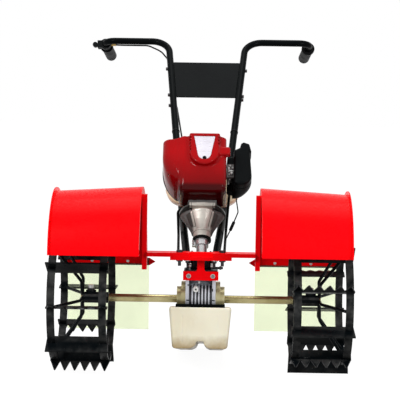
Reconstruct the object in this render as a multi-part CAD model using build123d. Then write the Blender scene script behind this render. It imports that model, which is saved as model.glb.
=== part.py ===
from build123d import *
import math
import os

# Two-row power paddy weeder: a small four-stroke engine drives a worm gearbox through a
# short inclined shaft. The gearbox turns one axle with a caged drum of blades at each
# end. Red fenders arch over the drums, a float slides between them and a pair of bent
# tubes carries the handlebar.
# Millimetres. X runs to the right seen from the front, Y runs back to the operator,
# Z is up. Everything is drawn about the middle of the axle and moved to the ground
# frame at the end.

# Axle and drums
axle_radius = 10.0
running_clearance = 0.05
drum_offset = 300.0          # middle of the axle to the mid-plane of a drum
drum_width = 150.0
tip_radius = 186.0
blade_thickness = 4.0
blade_height = 50.0
blade_count = 10
blade_edge_flare = 2.0       # the outer edge of a plain blade runs past each end
hoop_drop = 26.0             # blade tips to the hoop's outside
hoop_radius = tip_radius - hoop_drop
hoop_thickness = 4.5
hoop_width = 19.0
hoop_inset = 2.5             # blade end to hoop
tooth_count = 6
tooth_height = 27.0
tooth_lean = 20.0            # degrees from the radial line
tooth_tip_width = 3.0
left_drum_phase = 72.0       # degrees from the front, turning down, to a toothed blade
right_drum_phase = 54.0
hub_radius = 14.0
hub_inner_x = 233.0
hub_outer_x = 299.0
axle_end_x = 303.0
spoke_radius = 4.0
spoke_count = 6
spoke_bend_reach = 52.0
spoke_bend_radius = 16.0
hub_bolt_x = 278.0
hub_bolt_radius = 4.0
hub_nut_width = 17.0
hub_nut_top = 24.0
hub_bolt_head_top = 32.0
gusset_thickness = 5.0
gusset_length = 26.0

# Gearbox
gear_half_width = 37.5
gear_core_radius = 50.0
gear_rib_radius = 57.0
gear_wall_width = 8.5
gear_rib_count = 6
gear_rib_thickness = 3.5
flange_inner_radius = 45.0
flange_inner_width = 11.5
flange_outer_radius = 32.0
flange_outer_width = 11.0
oil_plug_radius = 6.5
oil_plug_x = -12.0
oil_plug_z = 35.0
oil_plug_reach = 8.0
pad_half_width = 42.0
pad_bottom = 57.0
pad_top = 82.0
pad_depth = 42.0
worm_radius = 30.0
worm_foot = -38.0            # along the shaft, below the worm's crossing height
worm_head = 35.0

# Inclined shaft and clutch housing, measured along the shaft
shaft_incline = 52.0
shaft_height = 62.0          # where the shaft line passes over the axle
tube_radius = 14.0
tube_wall = 2.0
collar_start = 82.0
collar_length = 17.0
collar_radius = 17.5
collar_ear = 7.0
seal_length = 5.0
seal_radius = 24.0
bell_start = 104.0
bell_small_radius = 23.0
bell_nose_length = 19.0
bell_waist = 146.0
bell_waist_radius = 36.0
bell_large_radius = 45.0
engine_face = 179.0
bell_flange_radius = 60.0
bell_flange_thickness = 6.0
bell_flare = 8.0
bell_wall = 4.0
bell_socket_depth = 16.0
bell_ring_width = 3.0
bell_ring_stand = 1.5
bell_rib_thickness = 3.0
bell_rib_stand = 3.0
bell_rib_wide_x = 28.0       # rib to the middle at the engine end
bell_rib_narrow_x = 18.0     # and at the nose
bell_rib_start = 130.0
lip_half = 37.5              # flat face that the two upper screws clamp
lip_top = 58.0
lip_foot = 20.0
lip_thickness = 9.0
lip_recess = 12.0            # pockets for the two screws
lip_recess_depth = 5.0

# Engine, in the shaft's own frame: X, along the shaft, up from the shaft
block_half_width = 48.0
block_length = 150.0
block_bottom = -46.0
block_nose_half = 36.0
block_nose_top = 50.0
block_top = 70.0
fit_gap = 0.3

# Engine shroud: a middle housing, a rounded lobe over the muffler and a raised tongue
shroud_left = -61.0
shroud_right = 60.0
shroud_start = 12.0          # from the engine face
shroud_end = 168.0
shroud_bottom = 20.0
shroud_shoulder = 112.0
shroud_wall = 2.5
shroud_front_round = 20.0
shroud_side_round = 12.0
lobe_left = -105.0
lobe_front = 33.0
lobe_turn = 115.0            # where the round front corner meets the straight side
lobe_corner_x = -68.0
lobe_rear = 158.0
lobe_rear_round = 18.0
lobe_top = 107.0
lobe_top_round = 20.0
tongue_middle = 3.5
tongue_half = 41.0
tongue_shoulder_half = 37.0
tongue_turn = 110.0
tongue_nose = 74.0
tongue_top = 128.0
tongue_round = 5.0
recess_half = 28.0
recess_narrow_half = 18.0
recess_rear = 160.0
recess_turn = 104.0
recess_nose = 88.0
recess_depth = 2.5
louvre_count = 5
louvre_first = 116.0
louvre_pitch = 9.5
louvre_width = 4.5
louvre_depth = 7.0
louvre_foot = 3.0            # above the shoulder
knob_left = 38.0
knob_right = 70.0
knob_front = 108.0
knob_rear = 132.0
knob_top = 121.0
knob_foot = 106.0
knob_round = 3.0
guard_step = 1.5             # the black guard shows past the lobe's lower edge
guard_thickness = 8.0

# Muffler, tank, air cleaner, carburettor and starter
muffler_outer = -85.0
muffler_start = 66.0
muffler_end = 142.0
muffler_bottom = 4.0
muffler_top = 84.0
muffler_round = 10.0
muffler_space = 3.0
tank_half_width = 100.0
tank_start = 60.0
tank_length = 119.0
tank_top = -52.0
tank_bottom = -108.0
tank_slope = 32.0
tank_round = 10.0
tank_corner = 36.0
cap_radius = 20.0
cap_height = 14.0
cleaner_inner = 82.0
cleaner_outer = 125.0
cleaner_front = 45.0
cleaner_back = 171.0
cleaner_bottom = 2.0
cleaner_top = 80.0
cleaner_low_round = 32.0
cleaner_round = 12.0
cleaner_notch_depth = 14.0
cleaner_notch_x = 98.0
cleaner_taper = 7.0
carb_radius = 15.0
carb_y = 98.0
carb_z = 44.0
carb_body_start = 62.0
carb_body_half = 20.0
bowl_radius = 9.0
bowl_height = 24.0
starter_radius = 58.0
starter_length = 26.0
starter_slot_count = 8
starter_slot_width = 6.0
starter_slot_depth = 3.0
starter_slot_start = 24.0
starter_slot_end = 50.0
pull_width = 30.0
pull_height = 9.0
pull_reach = 12.0
pull_neck_radius = 4.0
pull_neck = 6.0

# Centre bracket and cross bars
bracket_face_y = -58.0
bracket_thickness = 8.0
bracket_foot_half = 44.0
bracket_foot_bottom = 58.0
bracket_foot_top = 80.0
bracket_web_half = 9.0
bracket_web_fillet = 6.0
bracket_top_half = 76.0
bracket_top_z = 119.0
bracket_top_thickness = 8.0
bracket_top_depth = 34.0
bar_thickness = 10.0
bar_inner_x = 29.0
bolt_radius = 4.0
bolt_head_radius = 7.0
bolt_head_height = 5.0
foot_bolt_x = 30.0
bar_bolt_x = 53.0
bar_bolt_tail = 16.0

# Fenders
post_inner_x = 134.0
post_width = 12.0
post_depth = 12.0
post_y = -70.0
post_bottom = 85.0
post_top = 272.0
fender_inner_x = 146.0
fender_width = 217.0
fender_front_y = -215.0
fender_front_z = 137.0
fender_crown_y = -60.0
fender_crown_z = 288.0
fender_rear_y = 215.0
fender_rear_z = 57.0
fender_outer_drop = 13.0
fender_sheet = 2.0
rim_stand = 9.0              # the outer band stands above the sheet, the inner one is flush
rim_depth = 20.0
rim_thickness = 2.5
flap_thickness = 3.0
flap_inner_x = 142.0
flap_bottom = -123.0
flap_lap = 14.0
strip_thickness = 3.0
strip_height = 20.0
strip_overhang = 21.0
strip_point = 16.0           # the strip's inner end is cut to a point

# Float
float_front_y = -85.0
float_top_z = -7.0
float_front_bottom = -110.0
float_tail_y = 285.0
float_top_half = 78.0
float_bottom_half = 62.0
float_nose_depth = 21.0
float_deck_z = -62.0
float_tail_height = 26.0
float_tail_flat = 30.0
float_corner = 12.0
float_notch_half = 9.0
float_notch_height = 18.0
float_lobe_round = 14.0
float_notch_slope = 19.3     # degrees below level, steeper than the bottom
float_nose_round = 8.0
float_bracket_half = 61.0
float_bracket_sheet = 4.0
float_lip_y = -81.0
float_lip_top = 1.0
float_bracket_back = 70.0

# Handle
handle_radius = 10.0
handle_wall = 2.0
handle_foot_x, handle_foot_y, handle_foot_z = 36.0, -36.0, 110.0
handle_bend_x, handle_bend_y, handle_bend_z = 57.3, 269.0, 197.0
handle_bend_radius = 110.0
bar_height = 653.0
bar_rise = 63.0              # from the top of the lower tubes to the bar
handle_top_x, handle_top_y, handle_top_z = 109.3, 738.5, bar_height - bar_rise
plate_reach_share = 0.254    # of the tube from its top down to the plate's lower edge
plate_thickness = 3.0
bar_end_x = 316.0
bar_corner_radius = 55.0
bar_bend_radius = 34.0
grip_length = 120.0
grip_drop = 14.5             # degrees below level
grip_toe = 3.0               # degrees inward
grip_radius = 17.0
grip_clearance = 0.05
grip_bar_reach = 182.0
grip_end = 4.0
grip_round = 6.0
grip_collar = 6.0
grip_collar_radius = 20.0
cheek_inner_x = 21.0
cheek_thickness = 4.6
cheek_top = 125.0
cheek_front_y = -44.0
cheek_back_y = -13.0
base_floor_y = -26.0
throttle_width = 26.0
throttle_radius = 16.0
throttle_box_reach = 17.0
throttle_box_height = 22.0
lever_length = 8.0
lever_width = 9.0
lever_thickness = 4.0
lever_knob_radius = 8.0
lever_knob_length = 12.0

# Cables: each route is a list of points about the axle, with one bend radius a corner
loom_radius = 3.5
wire_radius = 1.6
throttle_cable_radius = 2.3
loom_left_route = [(-48.3, 148.4, 211.3), (-65.0, 148.4, 211.3), (-61.2, 110.0, 151.9),
                   (-58.0, -12.6, 118.0), (-58.0, -38.0, 123.0), (-58.0, -52.7, 123.0)]
loom_left_bends = [12.0, 30.0, 40.0, 20.0]
loom_right_route = [(71.0, 167.0, 283.0), (71.0, 185.0, 269.0), (66.0, 152.0, 206.0),
                    (61.2, 110.0, 151.9), (58.0, -12.6, 118.0), (58.0, -38.0, 123.0), (58.0, -52.7, 123.0)]
loom_right_bends = [14.0, 40.0, 40.0, 40.0, 20.0]
lead_route = [(88.0, 141.0, 245.0), (88.0, 148.9, 238.8), (93.0, 130.0, 208.0), (76.0, 88.0, 172.0),
              (57.8, 45.0, 139.6)]
lead_bends = [5.0, 14.0, 60.0]
connector_radius = 4.0
connector_start_share, connector_end_share = 0.52, 0.7
throttle_route = [(-297.4, 856.0, 641.5), (-280.0, 856.0, 641.0), (-262.0, 813.8, 640.2),
                  (-180.0, 813.8, 640.2), (-140.0, 804.0, 623.0), (-110.5, 759.0, 590.5),
                  (-96.0, 628.0, 478.0), (-84.0, 602.0, 462.0), (-58.0, 458.0, 343.0),
                  (-40.0, 177.0, 386.0), (-40.0, 155.6, 358.5)]
throttle_bends = [8.0, 12.0, 40.0, 40.0, 60.0, 60.0, 60.0, 60.0, 25.0]

overrun = 5.0                # every cut runs past its face by this much


def block(x0, x1, y0, y1, z0, z1):
    """Box between two corners."""
    centre = Pos((x0 + x1) / 2, (y0 + y1) / 2, (z0 + z1) / 2)
    return centre * Box(abs(x1 - x0), abs(y1 - y0), abs(z1 - z0))


def rod_x(radius, x0, x1, y=0, z=0):
    """Round bar along X."""
    return Pos((x0 + x1) / 2, y, z) * Rot(0, 90, 0) * Cylinder(radius, abs(x1 - x0))


def rod_y(radius, y0, y1, x=0, z=0):
    """Round bar along Y."""
    return Pos(x, (y0 + y1) / 2, z) * Rot(90, 0, 0) * Cylinder(radius, abs(y1 - y0))


def rod_z(radius, z0, z1, x=0, y=0):
    """Round bar along Z."""
    return Pos(x, y, (z0 + z1) / 2) * Cylinder(radius, abs(z1 - z0))


def side_plate(outline, x0, x1):
    """Outline drawn in Y and Z, as thick as x0 to x1."""
    return Pos(x0, 0, 0) * extrude(Plane.YZ * outline, x1 - x0, dir=(1, 0, 0))


def front_plate(outline, y0, y1):
    """Outline drawn in X and Z, as thick as y0 to y1."""
    return Pos(0, y0, 0) * extrude(Plane.XZ * outline, y1 - y0, dir=(0, 1, 0))


def hexagon(width, x, y, z0, z1):
    """Upright hexagonal nut or bolt head, width across its flats."""
    return Pos(x, y, z0) * extrude(RegularPolygon(width / 2, 6, major_radius=False), z1 - z0)


def piped(points, radii, radius):
    """Round bar bent along the corner points."""
    path = FilletPolyline(*points, radius=radii)
    return sweep(Plane(path @ 0, z_dir=path % 0) * Circle(radius), path=path)


def mirrored(shape):
    return mirror(shape, about=Plane.YZ)


nodes = {}

# Axle and its two caged drums
nodes["axle"] = rod_x(axle_radius, -axle_end_x, axle_end_x)

hoop_middle = drum_width / 2 - hoop_inset - hoop_width / 2
hoop_inner = hoop_radius - hoop_thickness
root_radius = tip_radius - blade_height
half_width = drum_width / 2
plain_outline = Polygon(
    (-half_width, root_radius), (half_width, root_radius),
    (half_width + blade_edge_flare, tip_radius), (-half_width - blade_edge_flare, tip_radius),
    align=None)
plain_blade = front_plate(plain_outline, -blade_thickness / 2, blade_thickness / 2)

bend_radius_on_drum = tip_radius - tooth_height * math.cos(math.radians(tooth_lean))
tooth_pitch = drum_width / tooth_count
saw_points = [(-half_width, 0)]
for tooth in range(tooth_count):
    left = -half_width + tooth * tooth_pitch
    middle = left + tooth_pitch / 2
    if tooth:
        saw_points.append((left, tooth_tip_width))
    saw_points.append((middle - tooth_tip_width / 2, tooth_height))
    saw_points.append((middle + tooth_tip_width / 2, tooth_height))
saw_points.append((half_width, 0))
saw = front_plate(Polygon(*saw_points, align=None), -blade_thickness / 2, blade_thickness / 2)
leg = block(-half_width, half_width, -blade_thickness / 2, blade_thickness / 2,
            root_radius, bend_radius_on_drum)
toothed_blade = leg + Pos(0, 0, bend_radius_on_drum) * (
    Rot(-tooth_lean, 0, 0) * saw + rod_x(blade_thickness / 2, -half_width, half_width))

spoke_start = (0, 0, axle_radius + blade_thickness / 2)
spoke = piped([spoke_start, (0, 0, spoke_bend_reach), (hoop_middle, 0, hoop_radius - hoop_thickness / 2)],
              spoke_bend_radius, spoke_radius)
hoop = rod_x(hoop_radius, -hoop_width / 2, hoop_width / 2) - rod_x(
    hoop_inner, -hoop_width / 2 - overrun, hoop_width / 2 + overrun)
blade_step = 360 / blade_count
spoke_step = 360 / spoke_count


def drum(phase):
    """Right-hand drum about its mid-plane; phase turns the first toothed blade."""
    pieces = [Pos(-hoop_middle, 0, 0) * hoop]
    for turn in range(0, blade_count, 2):
        angle = 90 + phase + turn * blade_step
        pieces.append(Rot(angle, 0, 0) * toothed_blade)
        pieces.append(Rot(angle + blade_step, 0, 0) * plain_blade)
    for turn in range(spoke_count):
        pieces.append(Rot(turn * spoke_step + spoke_step / 2, 0, 0) * spoke)
    sleeve_start = hub_inner_x - drum_offset
    sleeve_end = hub_outer_x - drum_offset
    pieces.append(rod_x(hub_radius, sleeve_start, sleeve_end))
    bolt_x = hub_bolt_x - drum_offset
    pieces.append(block(bolt_x - gusset_length / 2, bolt_x + gusset_length / 2,
                        -gusset_thickness / 2, gusset_thickness / 2,
                        axle_radius, hub_nut_top - gusset_thickness))
    pieces.append(hexagon(hub_nut_width, bolt_x, 0, axle_radius, hub_nut_top))
    body = Pos(hoop_middle, 0, 0) * hoop + pieces
    body -= rod_x(axle_radius + running_clearance, sleeve_start - overrun, sleeve_end + overrun)
    return body - rod_z(hub_bolt_radius + running_clearance, 0, hub_nut_top + overrun, bolt_x)


nodes["drum_right"] = Pos(drum_offset, 0, 0) * drum(right_drum_phase)
nodes["drum_left"] = mirrored(Pos(drum_offset, 0, 0) * drum(left_drum_phase))

bolt_tip = axle_radius + running_clearance
hub_bolt = rod_z(hub_bolt_radius, bolt_tip, hub_nut_top, hub_bolt_x) + hexagon(
    hub_nut_width - gusset_thickness, hub_bolt_x, 0, hub_nut_top, hub_bolt_head_top)
nodes["hub_bolt_right"] = hub_bolt
nodes["hub_bolt_left"] = mirrored(hub_bolt)

# Worm gearbox; its lower bore carries the axle, its upper barrel the worm
shaft_place = Pos(0, 0, shaft_height) * Rot(shaft_incline, 0, 0)

core = rod_x(gear_core_radius, -gear_half_width, gear_half_width)
wall = rod_x(gear_rib_radius, gear_half_width - gear_wall_width, gear_half_width)
rib_span = 2 * (gear_half_width - gear_wall_width)
ribs = []
for rib in range(gear_rib_count):
    rib_x = -rib_span / 2 + (rib + 1) * rib_span / (gear_rib_count + 1)
    ribs.append(rod_x(gear_rib_radius, rib_x - gear_rib_thickness / 2, rib_x + gear_rib_thickness / 2))
pad = block(-pad_half_width, pad_half_width, bracket_face_y, bracket_face_y + pad_depth,
            pad_bottom, pad_top)
pad_neck = block(-gear_half_width, gear_half_width, bracket_face_y, 0, 0, pad_bottom)
barrel = shaft_place * rod_y(worm_radius, worm_foot, worm_head)
gearbox = core + [wall, mirrored(wall)] + ribs + [pad, barrel]
gearbox += pad_neck & rod_x(gear_rib_radius + pad_depth, -gear_half_width, -gear_half_width + gear_wall_width)
gearbox += pad_neck & rod_x(gear_rib_radius + pad_depth, gear_half_width - gear_wall_width, gear_half_width)
gearbox -= rod_x(axle_radius + running_clearance, -gear_half_width - overrun, gear_half_width + overrun)
gearbox -= shaft_place * rod_y(tube_radius, 0, worm_head + overrun)
plug_seat = rod_y(oil_plug_radius, bracket_face_y - oil_plug_reach, 0, oil_plug_x, oil_plug_z)
nodes["oil_plug"] = plug_seat - rod_x(gear_rib_radius + running_clearance, -gear_half_width, gear_half_width)
nodes["gearbox_housing"] = gearbox

inner_face = gear_half_width + flange_inner_width
output_flange = rod_x(flange_inner_radius, gear_half_width, inner_face) + rod_x(
    flange_outer_radius, inner_face, inner_face + flange_outer_width)
output_flange -= rod_x(axle_radius + running_clearance, gear_half_width - overrun,
                       inner_face + flange_outer_width + overrun)
nodes["output_flange_right"] = output_flange
nodes["output_flange_left"] = mirrored(output_flange)

# Shaft tube, its clamp collar and the bell-shaped clutch housing
socket_end = bell_start + bell_socket_depth
tube = rod_y(tube_radius, 0, socket_end) - rod_y(tube_radius - tube_wall, overrun, socket_end + overrun)
nodes["shaft_tube"] = shaft_place * tube

collar_end = collar_start + collar_length
collar = rod_y(collar_radius, collar_start, collar_end) + block(
    -collar_radius - collar_ear, 0, collar_start, collar_end, -bolt_radius, bolt_radius)
collar -= rod_y(tube_radius, collar_start - overrun, collar_end + overrun)
nodes["tube_collar"] = shaft_place * collar
seal = rod_y(seal_radius, collar_end, collar_end + seal_length) - rod_y(
    tube_radius, collar_end - overrun, collar_end + seal_length + overrun)
nodes["clutch_seal"] = shaft_place * seal

flange_start = engine_face - bell_flange_thickness
nose_end = bell_start + bell_nose_length


def bell_outline(stand):
    """Half section of the bell's outside, as a radius against the place along the shaft."""
    corner_radius = bell_large_radius + bell_flare
    sides = Polyline(
        (0, bell_start), (bell_small_radius + stand, bell_start), (bell_small_radius + stand, nose_end),
        (bell_waist_radius + stand, bell_waist), (bell_large_radius + stand, flange_start - bell_flare))
    flare = ThreePointArc(
        (bell_large_radius + stand, flange_start - bell_flare),
        (corner_radius + stand - bell_flare * math.cos(math.pi / 4),
         flange_start - bell_flare + bell_flare * math.sin(math.pi / 4)),
        (corner_radius + stand, flange_start))
    rest = Polyline((corner_radius + stand, flange_start), (bell_flange_radius + stand, flange_start),
                    (bell_flange_radius + stand, engine_face), (0, engine_face), (0, bell_start))
    return make_face([*sides.edges(), flare, *rest.edges()])


bell_hollow = Polygon(
    (0, socket_end), (bell_small_radius - bell_wall, socket_end), (bell_waist_radius - bell_wall, bell_waist),
    (bell_large_radius - bell_wall, flange_start), (bell_large_radius - bell_wall, engine_face),
    (0, engine_face), align=None)
bell = revolve(bell_outline(0), Axis.Y)
rib_cover = revolve(bell_outline(bell_rib_stand), Axis.Y)
for side in (-1, 1):
    rib_plan = Polygon(
        (side * bell_rib_narrow_x, bell_rib_start),
        (side * (bell_rib_narrow_x + bell_rib_thickness), bell_rib_start),
        (side * (bell_rib_wide_x + bell_rib_thickness), flange_start), (side * bell_rib_wide_x, flange_start),
        align=None)
    bell += extrude(rib_plan, bell_flange_radius, dir=(0, 0, 1)) & rib_cover
bell += rod_y(bell_small_radius + bell_ring_stand, nose_end - bell_ring_width, nose_end)
lip_start = engine_face - lip_thickness
bell += block(-lip_half, lip_half, lip_start, engine_face, lip_foot, lip_top)
for side in (-1, 1):
    bell -= block(side * lip_half - lip_recess, side * lip_half + lip_recess, lip_start - overrun,
                  lip_start + lip_recess_depth, lip_foot - overrun, lip_top - lip_recess)
bell -= revolve(bell_hollow, Axis.Y)
bell -= rod_y(tube_radius, bell_start - overrun, socket_end + overrun)
nodes["clutch_housing"] = shaft_place * bell

# Engine
engine_place = shaft_place * Pos(0, engine_face, 0)
block_start = shroud_start + shroud_wall + fit_gap
crankcase = block(-block_half_width, block_half_width, block_start, block_length, block_bottom, block_top)
crankcase += block(-block_nose_half, block_nose_half, 0, block_start, block_bottom, block_nose_top)
nodes["engine_block"] = engine_place * crankcase


def plan_plate(outline, low, high):
    """Outline drawn in X and along the shaft, between two heights above the shaft."""
    return Pos(0, 0, low) * extrude(outline, high - low, dir=(0, 0, 1))


def lobe_plan(step):
    """Plan of the muffler's lobe, grown by a step."""
    left, front, rear = lobe_left - step, lobe_front - step, lobe_rear + step
    corner_x = lobe_corner_x
    reach, length = corner_x - left, lobe_turn - front
    radius = (reach ** 2 + length ** 2) / (2 * reach)
    half_angle = math.atan2(length, radius - reach) / 2
    middle = (left + radius - radius * math.cos(half_angle), lobe_turn - radius * math.sin(half_angle))
    inner = shroud_left + shroud_wall
    front_arc = ThreePointArc((corner_x, front), middle, (left, lobe_turn))
    rear_arc = RadiusArc((left, rear - lobe_rear_round), (left + lobe_rear_round, rear), lobe_rear_round)
    side = Line((left, lobe_turn), (left, rear - lobe_rear_round))
    rest = Polyline((left + lobe_rear_round, rear), (inner, rear), (inner, front), (corner_x, front))
    return make_face([front_arc, side, rear_arc, *rest.edges()])


def tongue_plan(half, turn_half, rear, turn, nose):
    """Plan of the raised tongue or of its label recess: straight sides and a round nose."""
    arc = ThreePointArc((tongue_middle - turn_half, turn), (tongue_middle, nose),
                        (tongue_middle + turn_half, turn))
    rest = Polyline((tongue_middle + turn_half, turn), (tongue_middle + half, rear),
                    (tongue_middle - half, rear), (tongue_middle - turn_half, turn))
    return make_face([arc, *rest.edges()])


housing = block(shroud_left, shroud_right, shroud_start, shroud_end, shroud_bottom, shroud_shoulder)
front_crease = housing.edges().filter_by(Axis.X).sort_by(Axis.Z)[-2:].sort_by(Axis.Y)[0]
housing = fillet(front_crease, shroud_front_round)
long_creases = housing.edges().filter_by(Axis.Y).group_by(Axis.Z)[-1]
housing = fillet(long_creases, shroud_side_round)
lobe = plan_plate(lobe_plan(0), shroud_bottom, lobe_top)
lobe_rim = [edge for edge in lobe.faces().sort_by(Axis.Z)[-1].edges()
            if edge.center().X < shroud_left]
lobe = fillet(lobe_rim, lobe_top_round)
tongue = plan_plate(tongue_plan(tongue_half, tongue_shoulder_half, shroud_end, tongue_turn, tongue_nose),
                    shroud_shoulder - shroud_side_round, tongue_top)
tongue = fillet(tongue.faces().sort_by(Axis.Z)[-1].edges(), tongue_round)
knob = block(knob_left, knob_right, knob_front, knob_rear, knob_foot, knob_top)
knob = fillet(knob.faces().sort_by(Axis.Z)[-1].edges(), knob_round)
shroud = housing + lobe + tongue + knob

shroud -= plan_plate(tongue_plan(recess_half, recess_narrow_half, recess_rear, recess_turn, recess_nose),
                     tongue_top - recess_depth, tongue_top + overrun)
for louvre in range(louvre_count):
    slot_y = louvre_first + louvre * louvre_pitch
    for side in (-1, 1):
        edge_x = tongue_middle + side * tongue_half
        slot = block(edge_x - louvre_depth, edge_x + louvre_depth, slot_y, slot_y + louvre_width,
                     shroud_shoulder + louvre_foot, tongue_top - louvre_foot)
        if side < 0 or slot_y > knob_rear:
            shroud -= slot
inside_top = shroud_shoulder - shroud_side_round
shroud -= block(shroud_left + shroud_wall, shroud_right - shroud_wall, shroud_start + shroud_wall,
                shroud_end + overrun, shroud_bottom - overrun, inside_top)
muffler_room = block(muffler_outer - muffler_space, shroud_left + shroud_wall + overrun,
                     muffler_start - muffler_space, shroud_end + overrun,
                     shroud_bottom - guard_thickness - overrun, muffler_top + muffler_space)
shroud -= muffler_room
shroud -= block(-block_nose_half - fit_gap, block_nose_half + fit_gap, shroud_start - overrun,
                shroud_start + shroud_wall + overrun, shroud_bottom - overrun, block_nose_top + fit_gap)
shroud -= block(shroud_right - shroud_wall - overrun, shroud_right + overrun,
                carb_y - carb_radius - fit_gap, carb_y + carb_radius + fit_gap,
                shroud_bottom - overrun, carb_z + carb_radius + fit_gap)
nodes["engine_shroud"] = engine_place * shroud

guard = plan_plate(lobe_plan(guard_step), shroud_bottom - guard_thickness, shroud_bottom)
guard -= muffler_room
nodes["muffler_guard"] = engine_place * guard
muffler = block(muffler_outer, -block_half_width, muffler_start, muffler_end, muffler_bottom, muffler_top)
nodes["muffler"] = engine_place * fillet(muffler.edges().filter_by(Axis.Y), muffler_round)

tank_end = tank_start + tank_length
tank_outline = Polygon((tank_start, tank_top), (tank_end, tank_top), (tank_end, tank_bottom),
                       (tank_start + tank_slope, tank_bottom), align=None)
tank = side_plate(tank_outline, -tank_half_width, tank_half_width)
tank = fillet(tank.edges().filter_by(Axis.X), tank_round)
tank_plan = Pos(0, (tank_start + tank_end) / 2) * RectangleRounded(
    2 * tank_half_width, tank_length, tank_corner)
nodes["fuel_tank"] = engine_place * (tank & plan_plate(tank_plan, tank_bottom, tank_top))
nodes["fuel_cap"] = engine_place * rod_y(cap_radius, tank_end, tank_end + cap_height, 0,
                                         (tank_top + tank_bottom) / 2)
tank_stay = block(-block_half_width, block_half_width, tank_start + tank_round, block_length,
                  tank_top, block_bottom)
nodes["tank_stay"] = engine_place * tank_stay

cleaner_front_view = front_plate(Pos((cleaner_inner + cleaner_outer) / 2, (cleaner_bottom + cleaner_top) / 2)
                                 * Rectangle(cleaner_outer - cleaner_inner, cleaner_top - cleaner_bottom),
                                 cleaner_front, cleaner_back)
outer_creases = cleaner_front_view.edges().filter_by(Axis.Y).group_by(Axis.X)[-1].sort_by(Axis.Z)
cleaner = fillet(outer_creases[0], cleaner_low_round)
top_crease = cleaner.edges().filter_by(Axis.Y).sort_by(Axis.Z)[-2:].sort_by(Axis.X)[-1]
cleaner = fillet(top_crease, cleaner_round)
cleaner_plan = Polygon(
    (cleaner_inner, cleaner_front), (cleaner_outer - cleaner_round, cleaner_front),
    (cleaner_outer, cleaner_front + cleaner_low_round), (cleaner_outer, cleaner_back - cleaner_low_round),
    (cleaner_outer - cleaner_taper, cleaner_back - cleaner_taper / 2),
    (cleaner_notch_x + cleaner_taper, cleaner_back), (cleaner_notch_x, cleaner_back - cleaner_taper / 2),
    (cleaner_notch_x - cleaner_taper / 2, cleaner_back - cleaner_notch_depth),
    (cleaner_inner, cleaner_back - cleaner_notch_depth - cleaner_taper), align=None)
nodes["air_cleaner_cover"] = engine_place * (cleaner & plan_plate(cleaner_plan, cleaner_bottom, cleaner_top))

carb = rod_x(carb_radius, block_half_width, cleaner_inner, carb_y, carb_z)
carb += block(carb_body_start, cleaner_inner, carb_y - carb_body_half, carb_y + carb_body_half,
              carb_z - carb_radius, carb_z + carb_radius)
carb += rod_z(bowl_radius, carb_z - carb_radius - bowl_height, carb_z, carb_body_start + bowl_radius, carb_y)
nodes["carburettor"] = engine_place * carb

starter = rod_y(starter_radius, block_length, block_length + starter_length)
starter -= block(-starter_radius, starter_radius, block_length - overrun,
                 block_length + starter_length + overrun, -starter_radius, tank_top + fit_gap)
starter_face = block_length + starter_length
for turn in range(starter_slot_count):
    slot = block(-starter_slot_width / 2, starter_slot_width / 2, starter_face - starter_slot_depth,
                 starter_face + overrun, starter_slot_start, starter_slot_end)
    turned = Rot(0, (turn + 1 / 2) * 360 / starter_slot_count, 0) * slot
    if turned.center().Z > tank_top + starter_slot_start:
        starter -= turned
starter += rod_y(pull_neck_radius, starter_face, starter_face + pull_neck)
starter += block(-pull_width / 2, pull_width / 2, starter_face + pull_neck,
                 starter_face + pull_neck + pull_reach, -pull_height / 2, pull_height / 2)
nodes["recoil_starter"] = engine_place * starter

# Centre bracket, cross bars and posts
bracket_back_y = bracket_face_y
bracket_front_y = bracket_face_y - bracket_thickness
bracket = block(-bracket_foot_half, bracket_foot_half, bracket_front_y, bracket_back_y,
                bracket_foot_bottom, bracket_foot_top)
bracket += block(-bracket_web_half, bracket_web_half, bracket_front_y, bracket_back_y,
                 bracket_foot_bottom, bracket_top_z + bar_thickness)
bracket += block(-bar_inner_x, bar_inner_x, bracket_front_y, bracket_back_y,
                 bracket_top_z, bracket_top_z + bar_thickness)
flange_y0 = post_y - bracket_top_depth / 2
flange_y1 = post_y + bracket_top_depth / 2
bracket += block(-bracket_top_half, bracket_top_half, flange_y0, flange_y1,
                 bracket_top_z - bracket_top_thickness, bracket_top_z)
web_edges = [edge for edge in bracket.edges().filter_by(Axis.Y)
             if abs(abs(edge.center().X) - bracket_web_half) < fit_gap
             and edge.center().Z < bracket_top_z]
bracket = fillet(web_edges, bracket_web_fillet)
for side in (-1, 1):
    bracket -= rod_y(bolt_radius, bracket_front_y - overrun, bracket_back_y + overrun,
                     side * foot_bolt_x, (bracket_foot_bottom + bracket_foot_top) / 2)
    bracket -= rod_z(bolt_radius, bracket_foot_top + overrun, bracket_top_z + overrun,
                     side * bar_bolt_x, post_y)
nodes["centre_bracket"] = bracket

bar_top = bracket_top_z + bar_thickness
cross_bar = block(bar_inner_x, post_inner_x, flange_y0, flange_y1, bracket_top_z, bar_top)
cross_bar -= rod_z(bolt_radius, bracket_top_z - overrun, bar_top + overrun, bar_bolt_x, post_y)
nodes["cross_bar_right"] = cross_bar
nodes["cross_bar_left"] = mirrored(cross_bar)
post = block(post_inner_x, post_inner_x + post_width, post_y - post_depth / 2, post_y + post_depth / 2,
             post_bottom, post_top)
nodes["fender_post_right"] = post
nodes["fender_post_left"] = mirrored(post)

bar_bolt = rod_z(bolt_radius, bracket_top_z - bracket_top_thickness - bar_bolt_tail, bar_top,
                 bar_bolt_x, post_y)
bar_bolt += hexagon(2 * bolt_head_radius, bar_bolt_x, post_y, bar_top, bar_top + bolt_head_height)
nut_top = bracket_top_z - bracket_top_thickness
bar_bolt += hexagon(2 * bolt_head_radius, bar_bolt_x, post_y, nut_top - bolt_head_height, nut_top)
nodes["bracket_bolts"] = Compound(children=[bar_bolt, mirrored(bar_bolt)])

# Fenders: an arched sheet between two banded ends


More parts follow.
